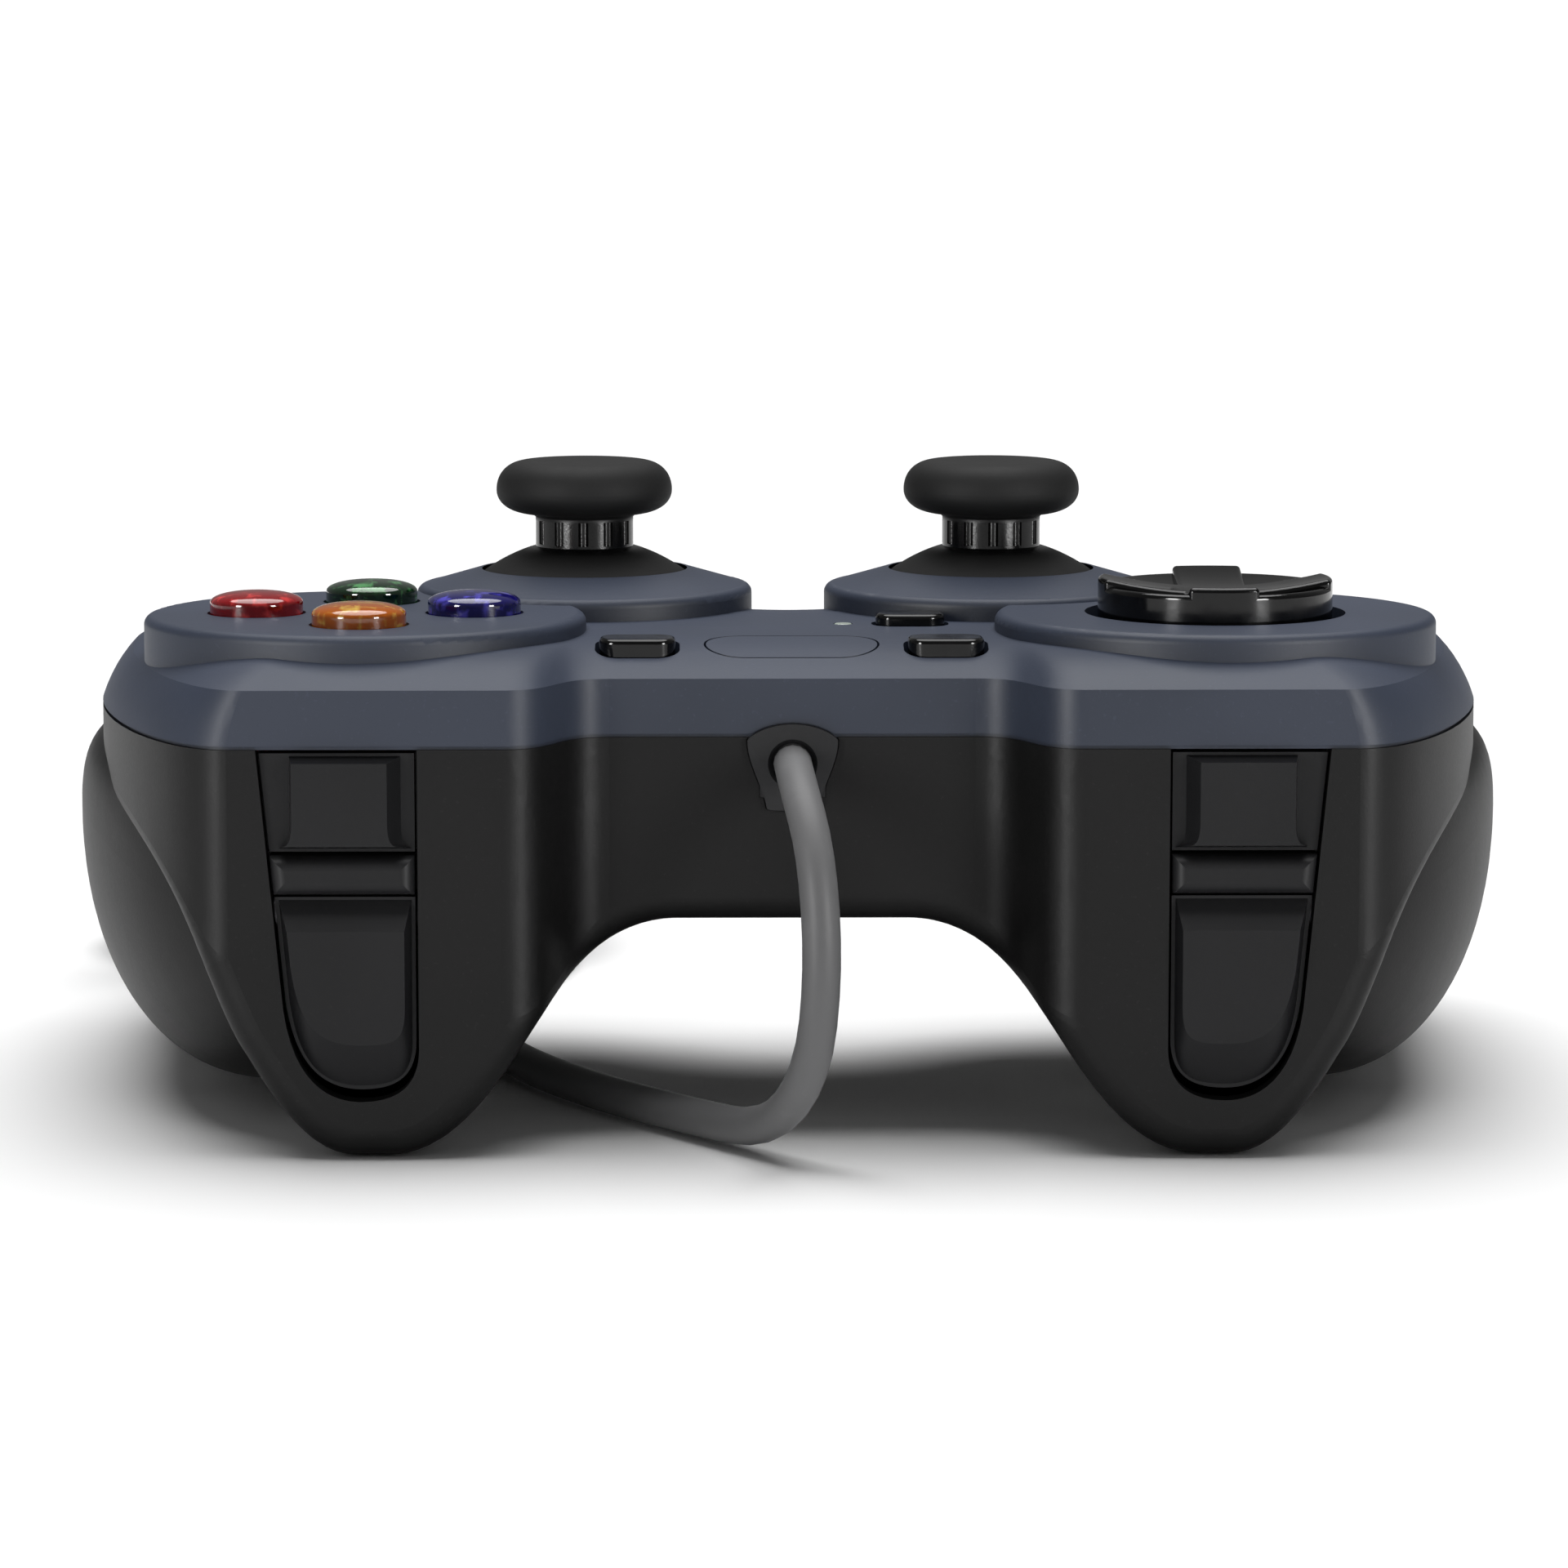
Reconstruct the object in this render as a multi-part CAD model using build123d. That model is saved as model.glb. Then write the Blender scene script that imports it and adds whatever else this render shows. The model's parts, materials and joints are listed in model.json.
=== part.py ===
from build123d import *
import math
import os

# Gamepad controller. Millimetres, +Z up, standing on the plane z = 0.
# The cable leaves towards -Y and the grips reach towards +Y. +X is the hand that works the direction pad.

# Overall sizes of the body
half_width = 75.2
half_depth = 52.0
lobe_front = -50.5
middle_front = -40.5
parting_height = 42.5
rim_rise = 6.1
crown_rise = 3.2
rim_height = parting_height + rim_rise
crown_height = rim_height + crown_rise
middle_bottom = 23.1
wall = 2.4
clearance = 0.3
fit_gap = 0.05
overrun = 4.0

# Shoulder openings, drawn in the front view
opening_place_share = 0.622
opening_width = 16.5
opening_lean = 2.6
opening_low_rise = 9.5
opening_inner_rise = 5.5
opening_bottom_z = 6.0
opening_bottom_share = 0.36
opening_drop = 6.0
opening_inner_drop = 3.7
opening_round_outer = 4.5
opening_round_inner = 3.8
opening_lean_in = 0.8
opening_inner = half_width * opening_place_share - opening_width / 2
opening_outer = opening_inner + opening_width
opening_outer_low = opening_outer - opening_lean
opening_bottom_x = opening_inner + opening_bottom_share * opening_width
opening_low_z = opening_bottom_z + opening_low_rise
opening_inner_low_z = opening_bottom_z + opening_inner_rise

# Plan of the deck at the parting line
s_margin = 8.5
s_run = 11.0
s_end = opening_inner - s_margin
s_start = s_end - s_run
s_pull = 6.5
lobe_flat_end_share = 0.771
side_start = 0.0
grip_cover_x_share = 0.82
grip_cover_y = 31.0
stick_bulge_x = 23.0
stick_bulge_y = 26.0
deck_back = 14.0
round_share = 0.5523
front_corner_share = 0.45
rear_round_share = 0.42

# Top shell shape above the parting line
parting_groove = 0.4
rim_side_inset = 3.4
rim_front_inset = 0.3
rim_back_inset = 6.0
bulge_rise_share = 0.54
bulge_inset_share = 0.38
crown_inset = 14.0
crown_step_shares = (0.18, 0.36, 0.64, 1.0)
crown_rise_shares = (0.42, 0.72, 0.93, 1.0)
middle_crown_share = 0.45

# Raised plates
plate_x_share = 0.6024
plate_x = half_width * plate_x_share
plate_y = -22.0
plate_radius = 23.5
plate_rise = 1.8
plate_height = crown_height + plate_rise
stick_x = 22.5
stick_y = 3.0
stick_plate_radius = 18.5
stick_plate_rise = 2.4
stick_cone_rise = 1.7
stick_plate_height = crown_height + stick_plate_rise
stick_cone_height = stick_plate_height + stick_cone_rise
plate_edge_radius = 1.0

# Front silhouette of the arch and a lobe. Points as shares of half_width across and of parting_height up,
# then how far each moves across and up with an inset
arch_shares = ((0.160, 0.5435, 0.0, 1.0), (0.259, 0.5435, 0.0, 1.0), (0.327, 0.395, 1.0, 0.5),
               (0.370, 0.273, 1.0, 0.5))
flank_shares = (arch_shares[-1], (0.426, 0.113, 1.0, 0.5), (0.485, 0.0, 0.5, 1.0), (0.552, 0.0, 0.5, 1.0))
foot_shares = ((0.605, 0.0, -0.5, 1.0), (0.665, 0.0, -0.5, 1.0), (0.716, 0.142, -1.0, 0.5),
               (0.751, 0.247, -1.0, 0.5))
crease_shares = (foot_shares[-1], (0.818, 0.424, -1.0, 0.5), (0.818, 0.741, -1.0, 0.0),
                 (1.0, 0.812, -1.0, 0.0))

# Side profile under the body
lobe_land_back = -24.0
lobe_heel_back = -11.0
heel_run = 9.0
heel_drop = 12.0

# Grips, one row a section: place along the depth, inner and outer side, bottom and top, centre across and up
grip_bulge = 3.2
grip_outer = half_width + grip_bulge
grip_low_share = 0.63
grip_high_share = 0.86
grip_row_shares = (
    (-0.85, 0.600, 0.740, 0.340, 0.760, 0.45, 0.55),
    (-0.69, 0.600, 0.845, 0.190, 0.880, 0.40, 0.60),
    (-0.46, 0.570, 0.930, 0.085, 0.960, 0.38, 0.68),
    (-0.19, 0.560, 0.981, 0.035, 0.982, 0.35, 0.72),
    (0.02, 0.560, 0.997, 0.015, 0.985, 0.34, 0.72),
    (0.27, 0.590, 1.000, 0.004, 0.970, 0.36, 0.70),
    (0.54, 0.625, 0.994, -0.010, 0.945, 0.42, 0.62),
    (0.77, 0.675, 0.965, -0.008, 0.850, 0.48, 0.56),
    (0.92, 0.725, 0.930, 0.060, 0.680, 0.50, 0.52),
    (0.99, 0.780, 0.880, 0.190, 0.520, 0.50, 0.50),
)

# Edge rounds of the shells
lobe_edge_radius = 3.0

# Bar between the two shoulder buttons, with the ears that hold the trigger pin
bar_drop = 10.9
bar_height = 4.0
bar_high = parting_height - bar_drop
bar_low = bar_high - bar_height
bar_depth = 6.2
bar_bulge = 1.1
bar_round = 1.4
bar_front = lobe_front - bar_bulge
bar_back = bar_front + bar_depth
ear_thickness = 2.1
ear_margin = 0.75
ear_inner_end = opening_inner - ear_margin
ear_inner_start = ear_inner_end - ear_thickness
ear_outer_start = opening_outer + ear_margin
ear_outer_end = ear_outer_start + ear_thickness
ear_skin = 0.8
ear_back_skin = 1.1

# Upper shoulder button
button_gap = 0.35
bumper_low = bar_high + button_gap
bumper_high = parting_height - parting_groove
bumper_travel = 1.2
shoulder_sink = 0.8
bumper_front = lobe_front + shoulder_sink
bumper_back = -46.4
bumper_face_front = -half_depth
bumper_inner_bevel = 2.4
bumper_outer_bevel = 2.9
bumper_top_bevel = 0.8
bumper_low_bevel = 0.8
bumper_flare = 1.1
bumper_flare_height = 3.0
bumper_flange = 1.3
bumper_flange_thickness = 1.2
bumper_stem = 4.0
bumper_stem_x = opening_inner + opening_width / 2
bumper_stem_z = (bumper_low + bumper_high) / 2

# Lower shoulder button, turning on its pin
trigger_top = bar_low - button_gap
trigger_lift = 0.9
trigger_front = bumper_front
trigger_back = -47.6
trigger_face_front = -51.9
trigger_base_gap = 0.7
trigger_face_gap = 1.35
trigger_face_lift = 4.8
trigger_face_drop = 3.3
trigger_pin_y = -45.2
trigger_pin_drop = 2.6
trigger_pin_z = bar_low - trigger_pin_drop
trigger_pin_radius = 0.9
trigger_hub_radius = 2.2
spring_length = 2.7
spring_end = ear_outer_start - clearance
spring_start = spring_end - spring_length
spring_thickness = 0.7
hub_gap = 0.8
trigger_hub_start = ear_inner_end + hub_gap
trigger_hub_end = spring_start - clearance
trigger_web_low = trigger_pin_z - trigger_hub_radius + fit_gap
trigger_pusher_rise = 10.0
trigger_pusher_z = opening_bottom_z + trigger_pusher_rise
trigger_pusher_end = -42.3
ear_front = trigger_pin_y - trigger_pin_radius - ear_skin
ear_back = trigger_pin_y + trigger_pin_radius + ear_back_skin
ear_low = trigger_pin_z - trigger_pin_radius - ear_back_skin

# Shoulder boards and the ribs they stand against
shoulder_board_front = -37.4
board_thickness = 1.6
board_edge_gap = 0.5
shoulder_board_start = opening_inner - board_edge_gap
shoulder_board_end = opening_outer - 2 * board_edge_gap
shoulder_board_low = 12.0
board_top_gap = 1.5
shoulder_board_high = parting_height - board_top_gap
switch_side = 6.0
switch_height = 2.0
plunger_radius = 1.2
plunger_height = 0.5
rib_width = 1.6
rib_margin = 2.0
rib_start = shoulder_board_start + rib_margin
rib_end = shoulder_board_end - rib_margin - rib_width
rib_depth = 3.5
rib_drop = 3.5
rib_height = parting_height - rib_drop

# Boards in the deck
stick_pivot_drop = 15.6
stick_pivot_height = stick_cone_height - stick_pivot_drop
module_depth = 7.3
main_board_level = stick_pivot_height - module_depth - board_thickness
main_board_inset = 5.0
main_board_reach = 40.0
main_board_front = -30.0
button_board_drop = 8.8
button_board_level = crown_height - button_board_drop
button_board_front = -37.0
button_board_back = -19.0
button_board_reach = 35.0
button_board_round = 16.2
button_tab_reach = 15.0
button_tab_back = -14.4
chip_side = 9.0
chip_height = 1.2
chip_y = 4.0
connector_width = 9.0
connector_depth = 5.0
connector_cover = 2.0
connector_y = -27.0
ribbon_width = 18.0
ribbon_thickness = 0.5
ribbon_y = -29.2
ribbon_x = -14.0

# Posts and screws
post_radius = 2.4
main_post_shares = ((0.166, -0.308), (0.452, 0.25))
button_post_shares = ((0.412, -0.66), (0.758, -0.24))
board_screw_head = 1.9
board_screw_head_height = 1.1
board_screw_radius = 0.9
board_screw_length = 5.0
case_screw_shares = ((0.878, -0.269), (0.811, 0.385))
case_post_radius = 4.3
case_post_drop = 6.5
case_post_height = parting_height - case_post_drop
top_post_radius = 3.1
case_well_radius = 2.9
case_seat_thickness = 2.4
case_well_top = case_post_height - case_seat_thickness
case_screw_head = 2.6
case_screw_head_height = 1.8
case_screw_radius = 1.2
case_screw_reach = 8.5
case_hole_gap = 0.2

# Rubber dome sheets
sheet_thickness = 0.6
sheet_radius = 15.6
dome_radius = 3.2
face_dome_height = 1.1
dpad_dome_height = 1.8
small_dome_height = 1.9
small_dome_radius = 1.9
dpad_sheet_hole = 7.4

# Face buttons
button_spread = 11.6
button_radius = 4.95
button_hole_gap = 0.3
button_travel = 1.5
button_flange = 1.05
button_flange_thickness = 1.2
button_rise = 1.1
button_dome_rise = 1.3
button_shoulder = plate_height + button_rise
button_top = button_shoulder + button_dome_rise
button_foot_radius = 2.6

# Small buttons: start and back as a pair, and mode
start_x = 16.2
start_y = -32.3
start_width = 8.0
start_depth = 5.8
mode_x = 12.9
mode_y = -17.0
mode_width = 7.4
mode_depth = 5.0
small_rise = 0.3
mode_rise = 1.2
small_button_places = (("start_button", -start_x, start_y, start_width, start_depth, small_rise),
                       ("back_button", start_x, start_y, start_width, start_depth, small_rise),
                       ("mode_button", mode_x, mode_y, mode_width, mode_depth, mode_rise))
small_corner = 2.0
small_travel = 0.9
small_flange = 1.0
small_flange_thickness = 0.8
small_hole_gap = 0.45
small_pocket_gap = 0.4
small_edge_round = 0.5

# Badge and status light
badge_width = 18.0
badge_depth = 8.4
badge_y = -31.2
badge_groove = 0.25
light_x = 5.7
light_y = -17.0
light_radius = 1.0
light_length = 5.0

# Direction pad and its gimbal
dpad_radius = 12.5
dpad_hole_radius = 13.9
dpad_pivot_drop = 5.0
dpad_pivot_height = plate_height - dpad_pivot_drop
dpad_flange_radius = 14.7
dpad_flange_thickness = 0.7
dpad_centre_rise = 2.3
dpad_centre_height = plate_height + dpad_centre_rise
dpad_dish_radius = 50.0
dpad_arm_width = 7.4
dpad_arm_rise = 0.8
dpad_hub_inner = 4.9
dpad_hub_outer = 6.5
dpad_hub_drop = 1.1
dpad_hub_rise = 1.6
dpad_hub_low = dpad_pivot_height - dpad_hub_drop
dpad_hub_roof = dpad_pivot_height + dpad_hub_rise
dpad_edge_round = 0.5
ring_inner = 2.6
ring_outer = 4.2
ring_half_height = 0.95
gimbal_pin_radius = 0.55
gimbal_post_radius = 1.6
gimbal_post_rise = 1.0
gimbal_post_top = dpad_pivot_height + gimbal_post_rise

# Thumb sticks, measured from the pivot
dome_outer = 18.9
dome_thickness = 1.2
dome_gap = 0.4
dome_reach = 53.0
stem_radius = 5.4
stem_top = 21.3
cap_radius = 9.7
cap_waist = 24.3
cap_under = 21.7
cap_top = 27.5
cap_flat = 6.3
cap_crown = 0.15
cap_round = 1.5
cap_tuck = 0.4
shaft_radius = 1.6
shaft_low = 3.4
shaft_high = 23.6
module_half = 8.0
module_wall = 1.0
module_rise = 3.0
yoke_half = 6.7
yoke_leg = 1.0
yoke_half_width = 3.2
yoke_top = 5.2
yoke_plate = 1.0
yoke_low = 1.6
yoke_slot = 1.95
yoke_slot_length = 4.7
yoke_pin_radius = 1.0
yoke_pin_end = 8.6
cradle_half_depth = 4.4
cradle_inner_depth = 3.0
cradle_inner_width = 5.2
cradle_half_height = 1.2
block_half = 2.6
block_half_height = 2.2
block_pin_radius = 0.8
block_pin_end = 4.2
pot_depth = 5.0
pot_half = 4.6
click_switch_side = 4.0
click_switch_height = 2.1
flute_count = 12
flute_radius = 0.55

# Cable, its grommet and its plug
cable_radius = 2.0
cable_exit_drop = 2.7
cable_exit_height = parting_height - cable_exit_drop
grommet_top = 43.9
grommet_wide_z = 42.2
grommet_half_width = 4.7
grommet_low = 34.9
grommet_low_half = 2.7
grommet_thickness = 1.1
grommet_neck_half = 3.4
grommet_neck_low = 36.2
grommet_lip = 1.2
grommet_lip_thickness = 1.2
cup_radius = 3.1
cup_depth = 0.8
inner_lead_radius = 1.6
lead_points = ((0.0, -40.8, 39.8), (0.3, -50.0, 39.2), (2.2, -59.0, 33.0), (2.9, -61.5, 21.5),
               (1.8, -58.0, 10.0), (-2.6, -50.0, 2.6), (-11.0, -38.0, 2.1), (-20.5, -25.0, 2.1), (-29.0, -9.0, 2.1),
               (-34.0, 8.0, 2.1), (-35.2, 26.0, 2.1), (-32.6, 45.0, 2.1), (-28.4, 62.5, 2.1),
               (-26.6, 75.0, 2.1), (-26.6, 84.0, 2.1))
coil_centre_x = -54.5
coil_centre_y = 88.0
coil_pitch = 5.3
coil_rise = 5.0
coil_outer = 27.9
coil_turns = 3
coil_layers = 4
coil_base = 2.1
tail_points = ((-29.25, 92.0, 17.1), (-29.25, 99.0, 17.1), (-32.5, 108.5, 20.2), (-42.5, 115.5, 22.9),
               (-54.0, 115.0, 23.4), (-62.5, 108.0, 23.4), (-64.5, 98.5, 23.4))
plug_body_length = 22.0
plug_body_width = 14.0
plug_body_height = 8.0
plug_body_round = 2.2
plug_shell_length = 18.5
plug_shell_width = 12.0
plug_shell_height = 4.5
plug_shell_wall = 0.35
plug_tongue_length = 17.0
plug_tongue_height = 1.8

# Shares that shape small things
cavity_step_share = 0.62
cone_top_share = 0.63
dome_side_share = 0.75
dome_flat_share = 0.45
dome_top_share = 0.75
dpad_dome_share = 0.8
cap_round_share = 0.6
shield_share = 0.62
arc_share = 0.45

# Other places
case_centre_y = -19.0
roof_inset = 8.0
badge_floor_share = 0.5
strip_half = 1.5
dpad_pin_skin = 0.5
shield_drop = 2.4
grommet_sink = 0.4


def quarter(start, end, along_x_first, share=round_share):
    """A quarter round from start to end, leaving along X or along Y."""
    (x0, y0), (x1, y1) = start, end
    if along_x_first:
        return Bezier((x0, y0), (x0 + share * (x1 - x0), y0), (x1, y1 - share * (y1 - y0)), (x1, y1))
    return Bezier((x0, y0), (x0, y0 + share * (y1 - y0)), (x1 - share * (x1 - x0), y1), (x1, y1))


def mirrored_face(half_edges, lift=0.0):
    """A face from the edges of its +X half and their mirror image, at a height."""
    other_half = [edge.mirror(Plane.YZ) for edge in half_edges]
    outline = Wire(half_edges + other_half)
    return Face(outline).moved(Location((0, 0, lift)))


def deck_half(front=0.0, side=0.0, back=0.0, middle=0.0):
    """Edges of the +X half of the deck's plan, drawn in by separate insets."""
    lobe_y = lobe_front + front
    middle_y = middle_front + front + middle
    side_x = half_width - side
    s0 = (s_start, middle_y)
    s1 = (s_end, lobe_y)
    flat_end = (half_width * lobe_flat_end_share - side / 2, lobe_y)
    waist = (side_x, side_start + front / 2)
    cover = (half_width * grip_cover_x_share - side / 2, grip_cover_y - back - side / 2)
    bulge = (stick_bulge_x, stick_bulge_y - back)
    middle_back = (0, deck_back - back)
    reach = rear_round_share
    return [
        Line((0, middle_y), s0),
        Bezier(s0, (s0[0] + s_pull, middle_y), (s1[0] - s_pull, lobe_y), s1),
        Line(s1, flat_end),
        quarter(flat_end, waist, True, front_corner_share),
        quarter(waist, cover, False),
        Bezier(cover, (cover[0] - reach * (cover[0] - bulge[0]), cover[1]),
               (bulge[0] + reach * (cover[0] - bulge[0]), bulge[1]), bulge),
        Bezier(bulge, (bulge[0] * (1 - reach), bulge[1]), (bulge[0] * reach, middle_back[1]), middle_back),
    ]


def front_half(inset=0.0):
    """Edges of the +X half of the front silhouette: arch, lobe and crease. X is across, Y is up."""
    curves = []
    for shares in (arch_shares, flank_shares, foot_shares, crease_shares):
        if shares is foot_shares:
            shares = (flank_shares[-1],) + foot_shares
        points = []
        for across, up, move_across, move_up in shares:
            points.append((across * half_width + move_across * inset, up * parting_height + move_up * inset))
        curves.append(points)
    side_top = (half_width + overrun, parting_height + overrun)
    foot = curves[2]
    return [
        Line((0, curves[0][0][1]), curves[0][0]),
        Bezier(*curves[0]),
        Bezier(*curves[1]),
        Line(foot[0], foot[1]),
        Bezier(*foot[1:]),
        Bezier(*curves[3]),
        Line(curves[3][-1], side_top),
        Line(side_top, (0, side_top[1])),
    ]


def front_prism(face):
    """The front silhouette carried through the whole depth."""
    upright = Plane(origin=(0, half_depth + overrun, 0), x_dir=(1, 0, 0), z_dir=(0, -1, 0))
    return extrude(upright * face, amount=2 * (half_depth + overrun))


def side_profile(inset=0.0):
    """Side profile of the lobes and of the flat underside behind them. X is along the depth, Y is up."""
    heel = (lobe_heel_back - inset, middle_bottom + inset)
    land_back = (lobe_land_back - inset / 2, inset)
    top = parting_height + overrun
    front = -half_depth - overrun
    back = half_depth + overrun
    edges = [
        Line((front, inset), land_back),
        Bezier(land_back, (land_back[0] + heel_run, inset), (heel[0], heel[1] - heel_drop), heel),
        Line(heel, (back, heel[1])),
        Line((back, heel[1]), (back, top)),
        Line((back, top), (front, top)),
        Line((front, top), (front, inset)),
    ]
    return Face(Wire(edges))


def side_prism(face):
    """The side profile carried through the whole width."""
    reach = half_width + 2 * overrun
    upright = Plane(origin=(-reach, 0, 0), x_dir=(0, 1, 0), z_dir=(1, 0, 0))
    return extrude(upright * face, amount=2 * reach)


def lower_block(inset=0.0):
    """Lobes and middle below the parting line, as three crossing prisms."""
    deck = extrude(mirrored_face(deck_half(inset, inset, inset)), amount=parting_height)
    silhouette = mirrored_face(front_half(inset))
    return deck & front_prism(silhouette) & side_prism(side_profile(inset))


def grip_section(row, inset=0.0):
    """One upright section of a grip: four quarter rounds about a centre."""
    along, inner, outer, low, high, centre_share, middle_share = row
    x0 = inner * grip_outer + inset
    x1 = outer * grip_outer - inset
    z0 = low * parting_height + inset
    z1 = high * parting_height - inset
    xc = x0 + centre_share * (x1 - x0)
    zc = z0 + middle_share * (z1 - z0)
    edges = [
        quarter((xc, z0), (x1, zc), True, grip_low_share),
        quarter((x1, zc), (xc, z1), False, grip_high_share),
        quarter((xc, z1), (x0, zc), True),
        quarter((x0, zc), (xc, z0), False),
    ]
    place = Plane(origin=(0, along * half_depth, 0), x_dir=(1, 0, 0), z_dir=(0, -1, 0))
    return place * Face(Wire(edges))


def grip(inset=0.0):
    """A grip as a loft of its sections, cut flat where it stands on the table."""
    rows = grip_row_shares if not inset else grip_row_shares[1:-2]
    form = loft([grip_section(row, inset) for row in rows])
    size = 4 * half_depth
    table = Pos(half_width / 2, 0, -size / 2) * Box(size, size, size)
    return form - table


def top_form():
    """Outer form of the top shell: groove, side wall, shoulder and crown, without its plates."""
    groove = parting_groove
    foot = extrude(mirrored_face(deck_half(groove, groove, groove), parting_height), amount=groove)
    base = mirrored_face(deck_half(), parting_height + groove)
    bulge_plan = deck_half(rim_front_inset * bulge_inset_share, rim_side_inset * bulge_inset_share,
                           rim_back_inset * bulge_inset_share)
    bulge = mirrored_face(bulge_plan, parting_height + bulge_rise_share * rim_rise)
    rim = mirrored_face(deck_half(rim_front_inset, rim_side_inset, rim_back_inset), rim_height)
    sides = loft([base, bulge, rim])
    layers = [rim]
    for step, rise in zip(crown_step_shares, crown_rise_shares):
        inset = step * crown_inset
        plan = deck_half(rim_front_inset + inset, rim_side_inset + inset, rim_back_inset + inset,
                         middle_crown_share * inset)
        layers.append(mirrored_face(plan, rim_height + rise * crown_rise))
    return foot + sides + loft(layers)


def both(solid):
    """A solid and its mirror image on the other side."""
    return solid + solid.mirror(Plane.YZ)


def span(x0, x1, y0, y1, z0, z1):
    """A block between two corners."""
    size = Vector(x1 - x0, y1 - y0, z1 - z0)
    centre = Vector(x0 + x1, y0 + y1, z0 + z1) / 2
    return Location(centre) * Box(size.X, size.Y, size.Z)


def rod(x, y, z0, z1, radius):
    """An upright cylinder between two heights."""
    return Pos(x, y, (z0 + z1) / 2) * Cylinder(radius, z1 - z0)


def rod_x(x0, x1, y, z, radius):
    """A cylinder along X."""
    return Pos((x0 + x1) / 2, y, z) * Rot(0, 90, 0) * Cylinder(radius, abs(x1 - x0))


def rod_y(x, y0, y1, z, radius):
    """A cylinder along Y."""
    return Pos(x, (y0 + y1) / 2, z) * Rot(90, 0, 0) * Cylinder(radius, abs(y1 - y0))


def tablet(x, y, width, depth, corner, z0, z1):
    """An upright block with rounded corners."""
    return Pos(x, y, z0) * extrude(RectangleRounded(width, depth, corner), amount=z1 - z0)


def stand_behind(sketch_edges, y0, y1):
    """A front view outline carried from y0 back to y1."""
    upright = Plane(origin=(0, y1, 0), x_dir=(1, 0, 0), z_dir=(0, -1, 0))
    return extrude(upright * Face(Wire(sketch_edges)), amount=y1 - y0, dir=(0, -1, 0))


def opening_edges(gap=0.0, lift=0.0, top=parting_height + overrun):
    """Front view outline of the +X shoulder opening, drawn in by a gap and lifted."""
    lean_share = opening_lean / (parting_height - opening_low_z)
    inner = opening_inner + gap
    outer_high = opening_outer_low + lean_share * (top - opening_low_z) - gap
    outer_low = opening_outer_low + lean_share * lift - gap
    low = opening_bottom_z + gap + lift
    side_low = opening_inner_low_z + lift
    other_low = opening_low_z + lift
    bottom = (opening_bottom_x, low)
    return [
        Line((inner, top), (inner, side_low)),
        Bezier((inner, side_low), (inner, side_low - opening_inner_drop),
               (bottom[0] - opening_round_inner, low), bottom),
        Bezier(bottom, (bottom[0] + opening_round_outer, low), (outer_low - opening_lean_in,
               other_low - opening_drop), (outer_low, other_low)),
        Line((outer_low, other_low), (outer_high, top)),
        Line((outer_high, top), (inner, top)),
    ]


def paired(shares):
    """Places on both sides from shares of the body's half width and half depth."""
    return [(side * x * half_width, y * half_depth) for x, y in shares for side in (1, -1)]


def case_screw_places():
    """Places of the five screws that hold the shells together."""
    return paired(case_screw_shares) + [(0, case_centre_y)]


def floor_posts(places, top, radius):
    """Upright posts from the floor up to a level."""
    return Part() + [rod(x, y, 0, top, radius) for x, y in places]


def bottom_shell():
    """Black shell: lobes, grips and middle, hollowed, with its openings, posts and ribs."""
    block = lower_block()
    front_edges = [edge for edge in block.edges() if edge.bounding_box().max.Y < middle_front + clearance
                   and edge.bounding_box().max.Z < parting_height - clearance]
    block = fillet(front_edges, lobe_edge_radius)
    outer = block + both(grip())
    inner = lower_block(wall) + both(grip(wall))
    posts = floor_posts(paired(main_post_shares), main_board_level, post_radius)
    posts += floor_posts(paired(button_post_shares), button_board_level, post_radius)
    posts += floor_posts(case_screw_places(), case_post_height, case_post_radius)
    rib_front = shoulder_board_front + board_thickness
    for start in (rib_start, rib_end):
        posts += both(span(start, start + rib_width, rib_front, rib_front + rib_depth, 0, rib_height))
    high_posts = posts & span(-half_width, half_width, lobe_front, half_depth, parting_height,
                              button_board_level)
    shell = outer - (inner - posts) + high_posts
    shell -= both(stand_behind(opening_edges(), lobe_front - overrun, lobe_front + wall + overrun / 2))
    shell -= grommet_hole()
    for x, y in case_screw_places():
        shell -= case_screw_well(x, y)
    hole_low = main_board_level - board_screw_length
    for x, y in paired(main_post_shares):
        shell -= rod(x, y, hole_low, main_board_level + overrun, board_screw_radius + fit_gap)
    return shell


def case_screw_well(x, y):
    """Well from below for a screw head, and the hole for its shank."""
    well = rod(x, y, -overrun, case_well_top, case_well_radius)
    return well + rod(x, y, case_well_top - overrun, case_post_height + overrun,
                      case_screw_radius + case_hole_gap)


def case_screws():
    """Five screws that hold the shells together."""
    screws = []
    for x, y in case_screw_places():
        head = rod(x, y, case_well_top - case_screw_head_height, case_well_top, case_screw_head)
        slot = rod(x, y, case_well_top - case_screw_head_height, case_well_top - case_screw_head_height / 2,
                   case_screw_radius)
        shank = rod(x, y, case_well_top, case_well_top + case_screw_reach, case_screw_radius)
        screws.append(head - slot + shank)
    return Part() + screws


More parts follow.
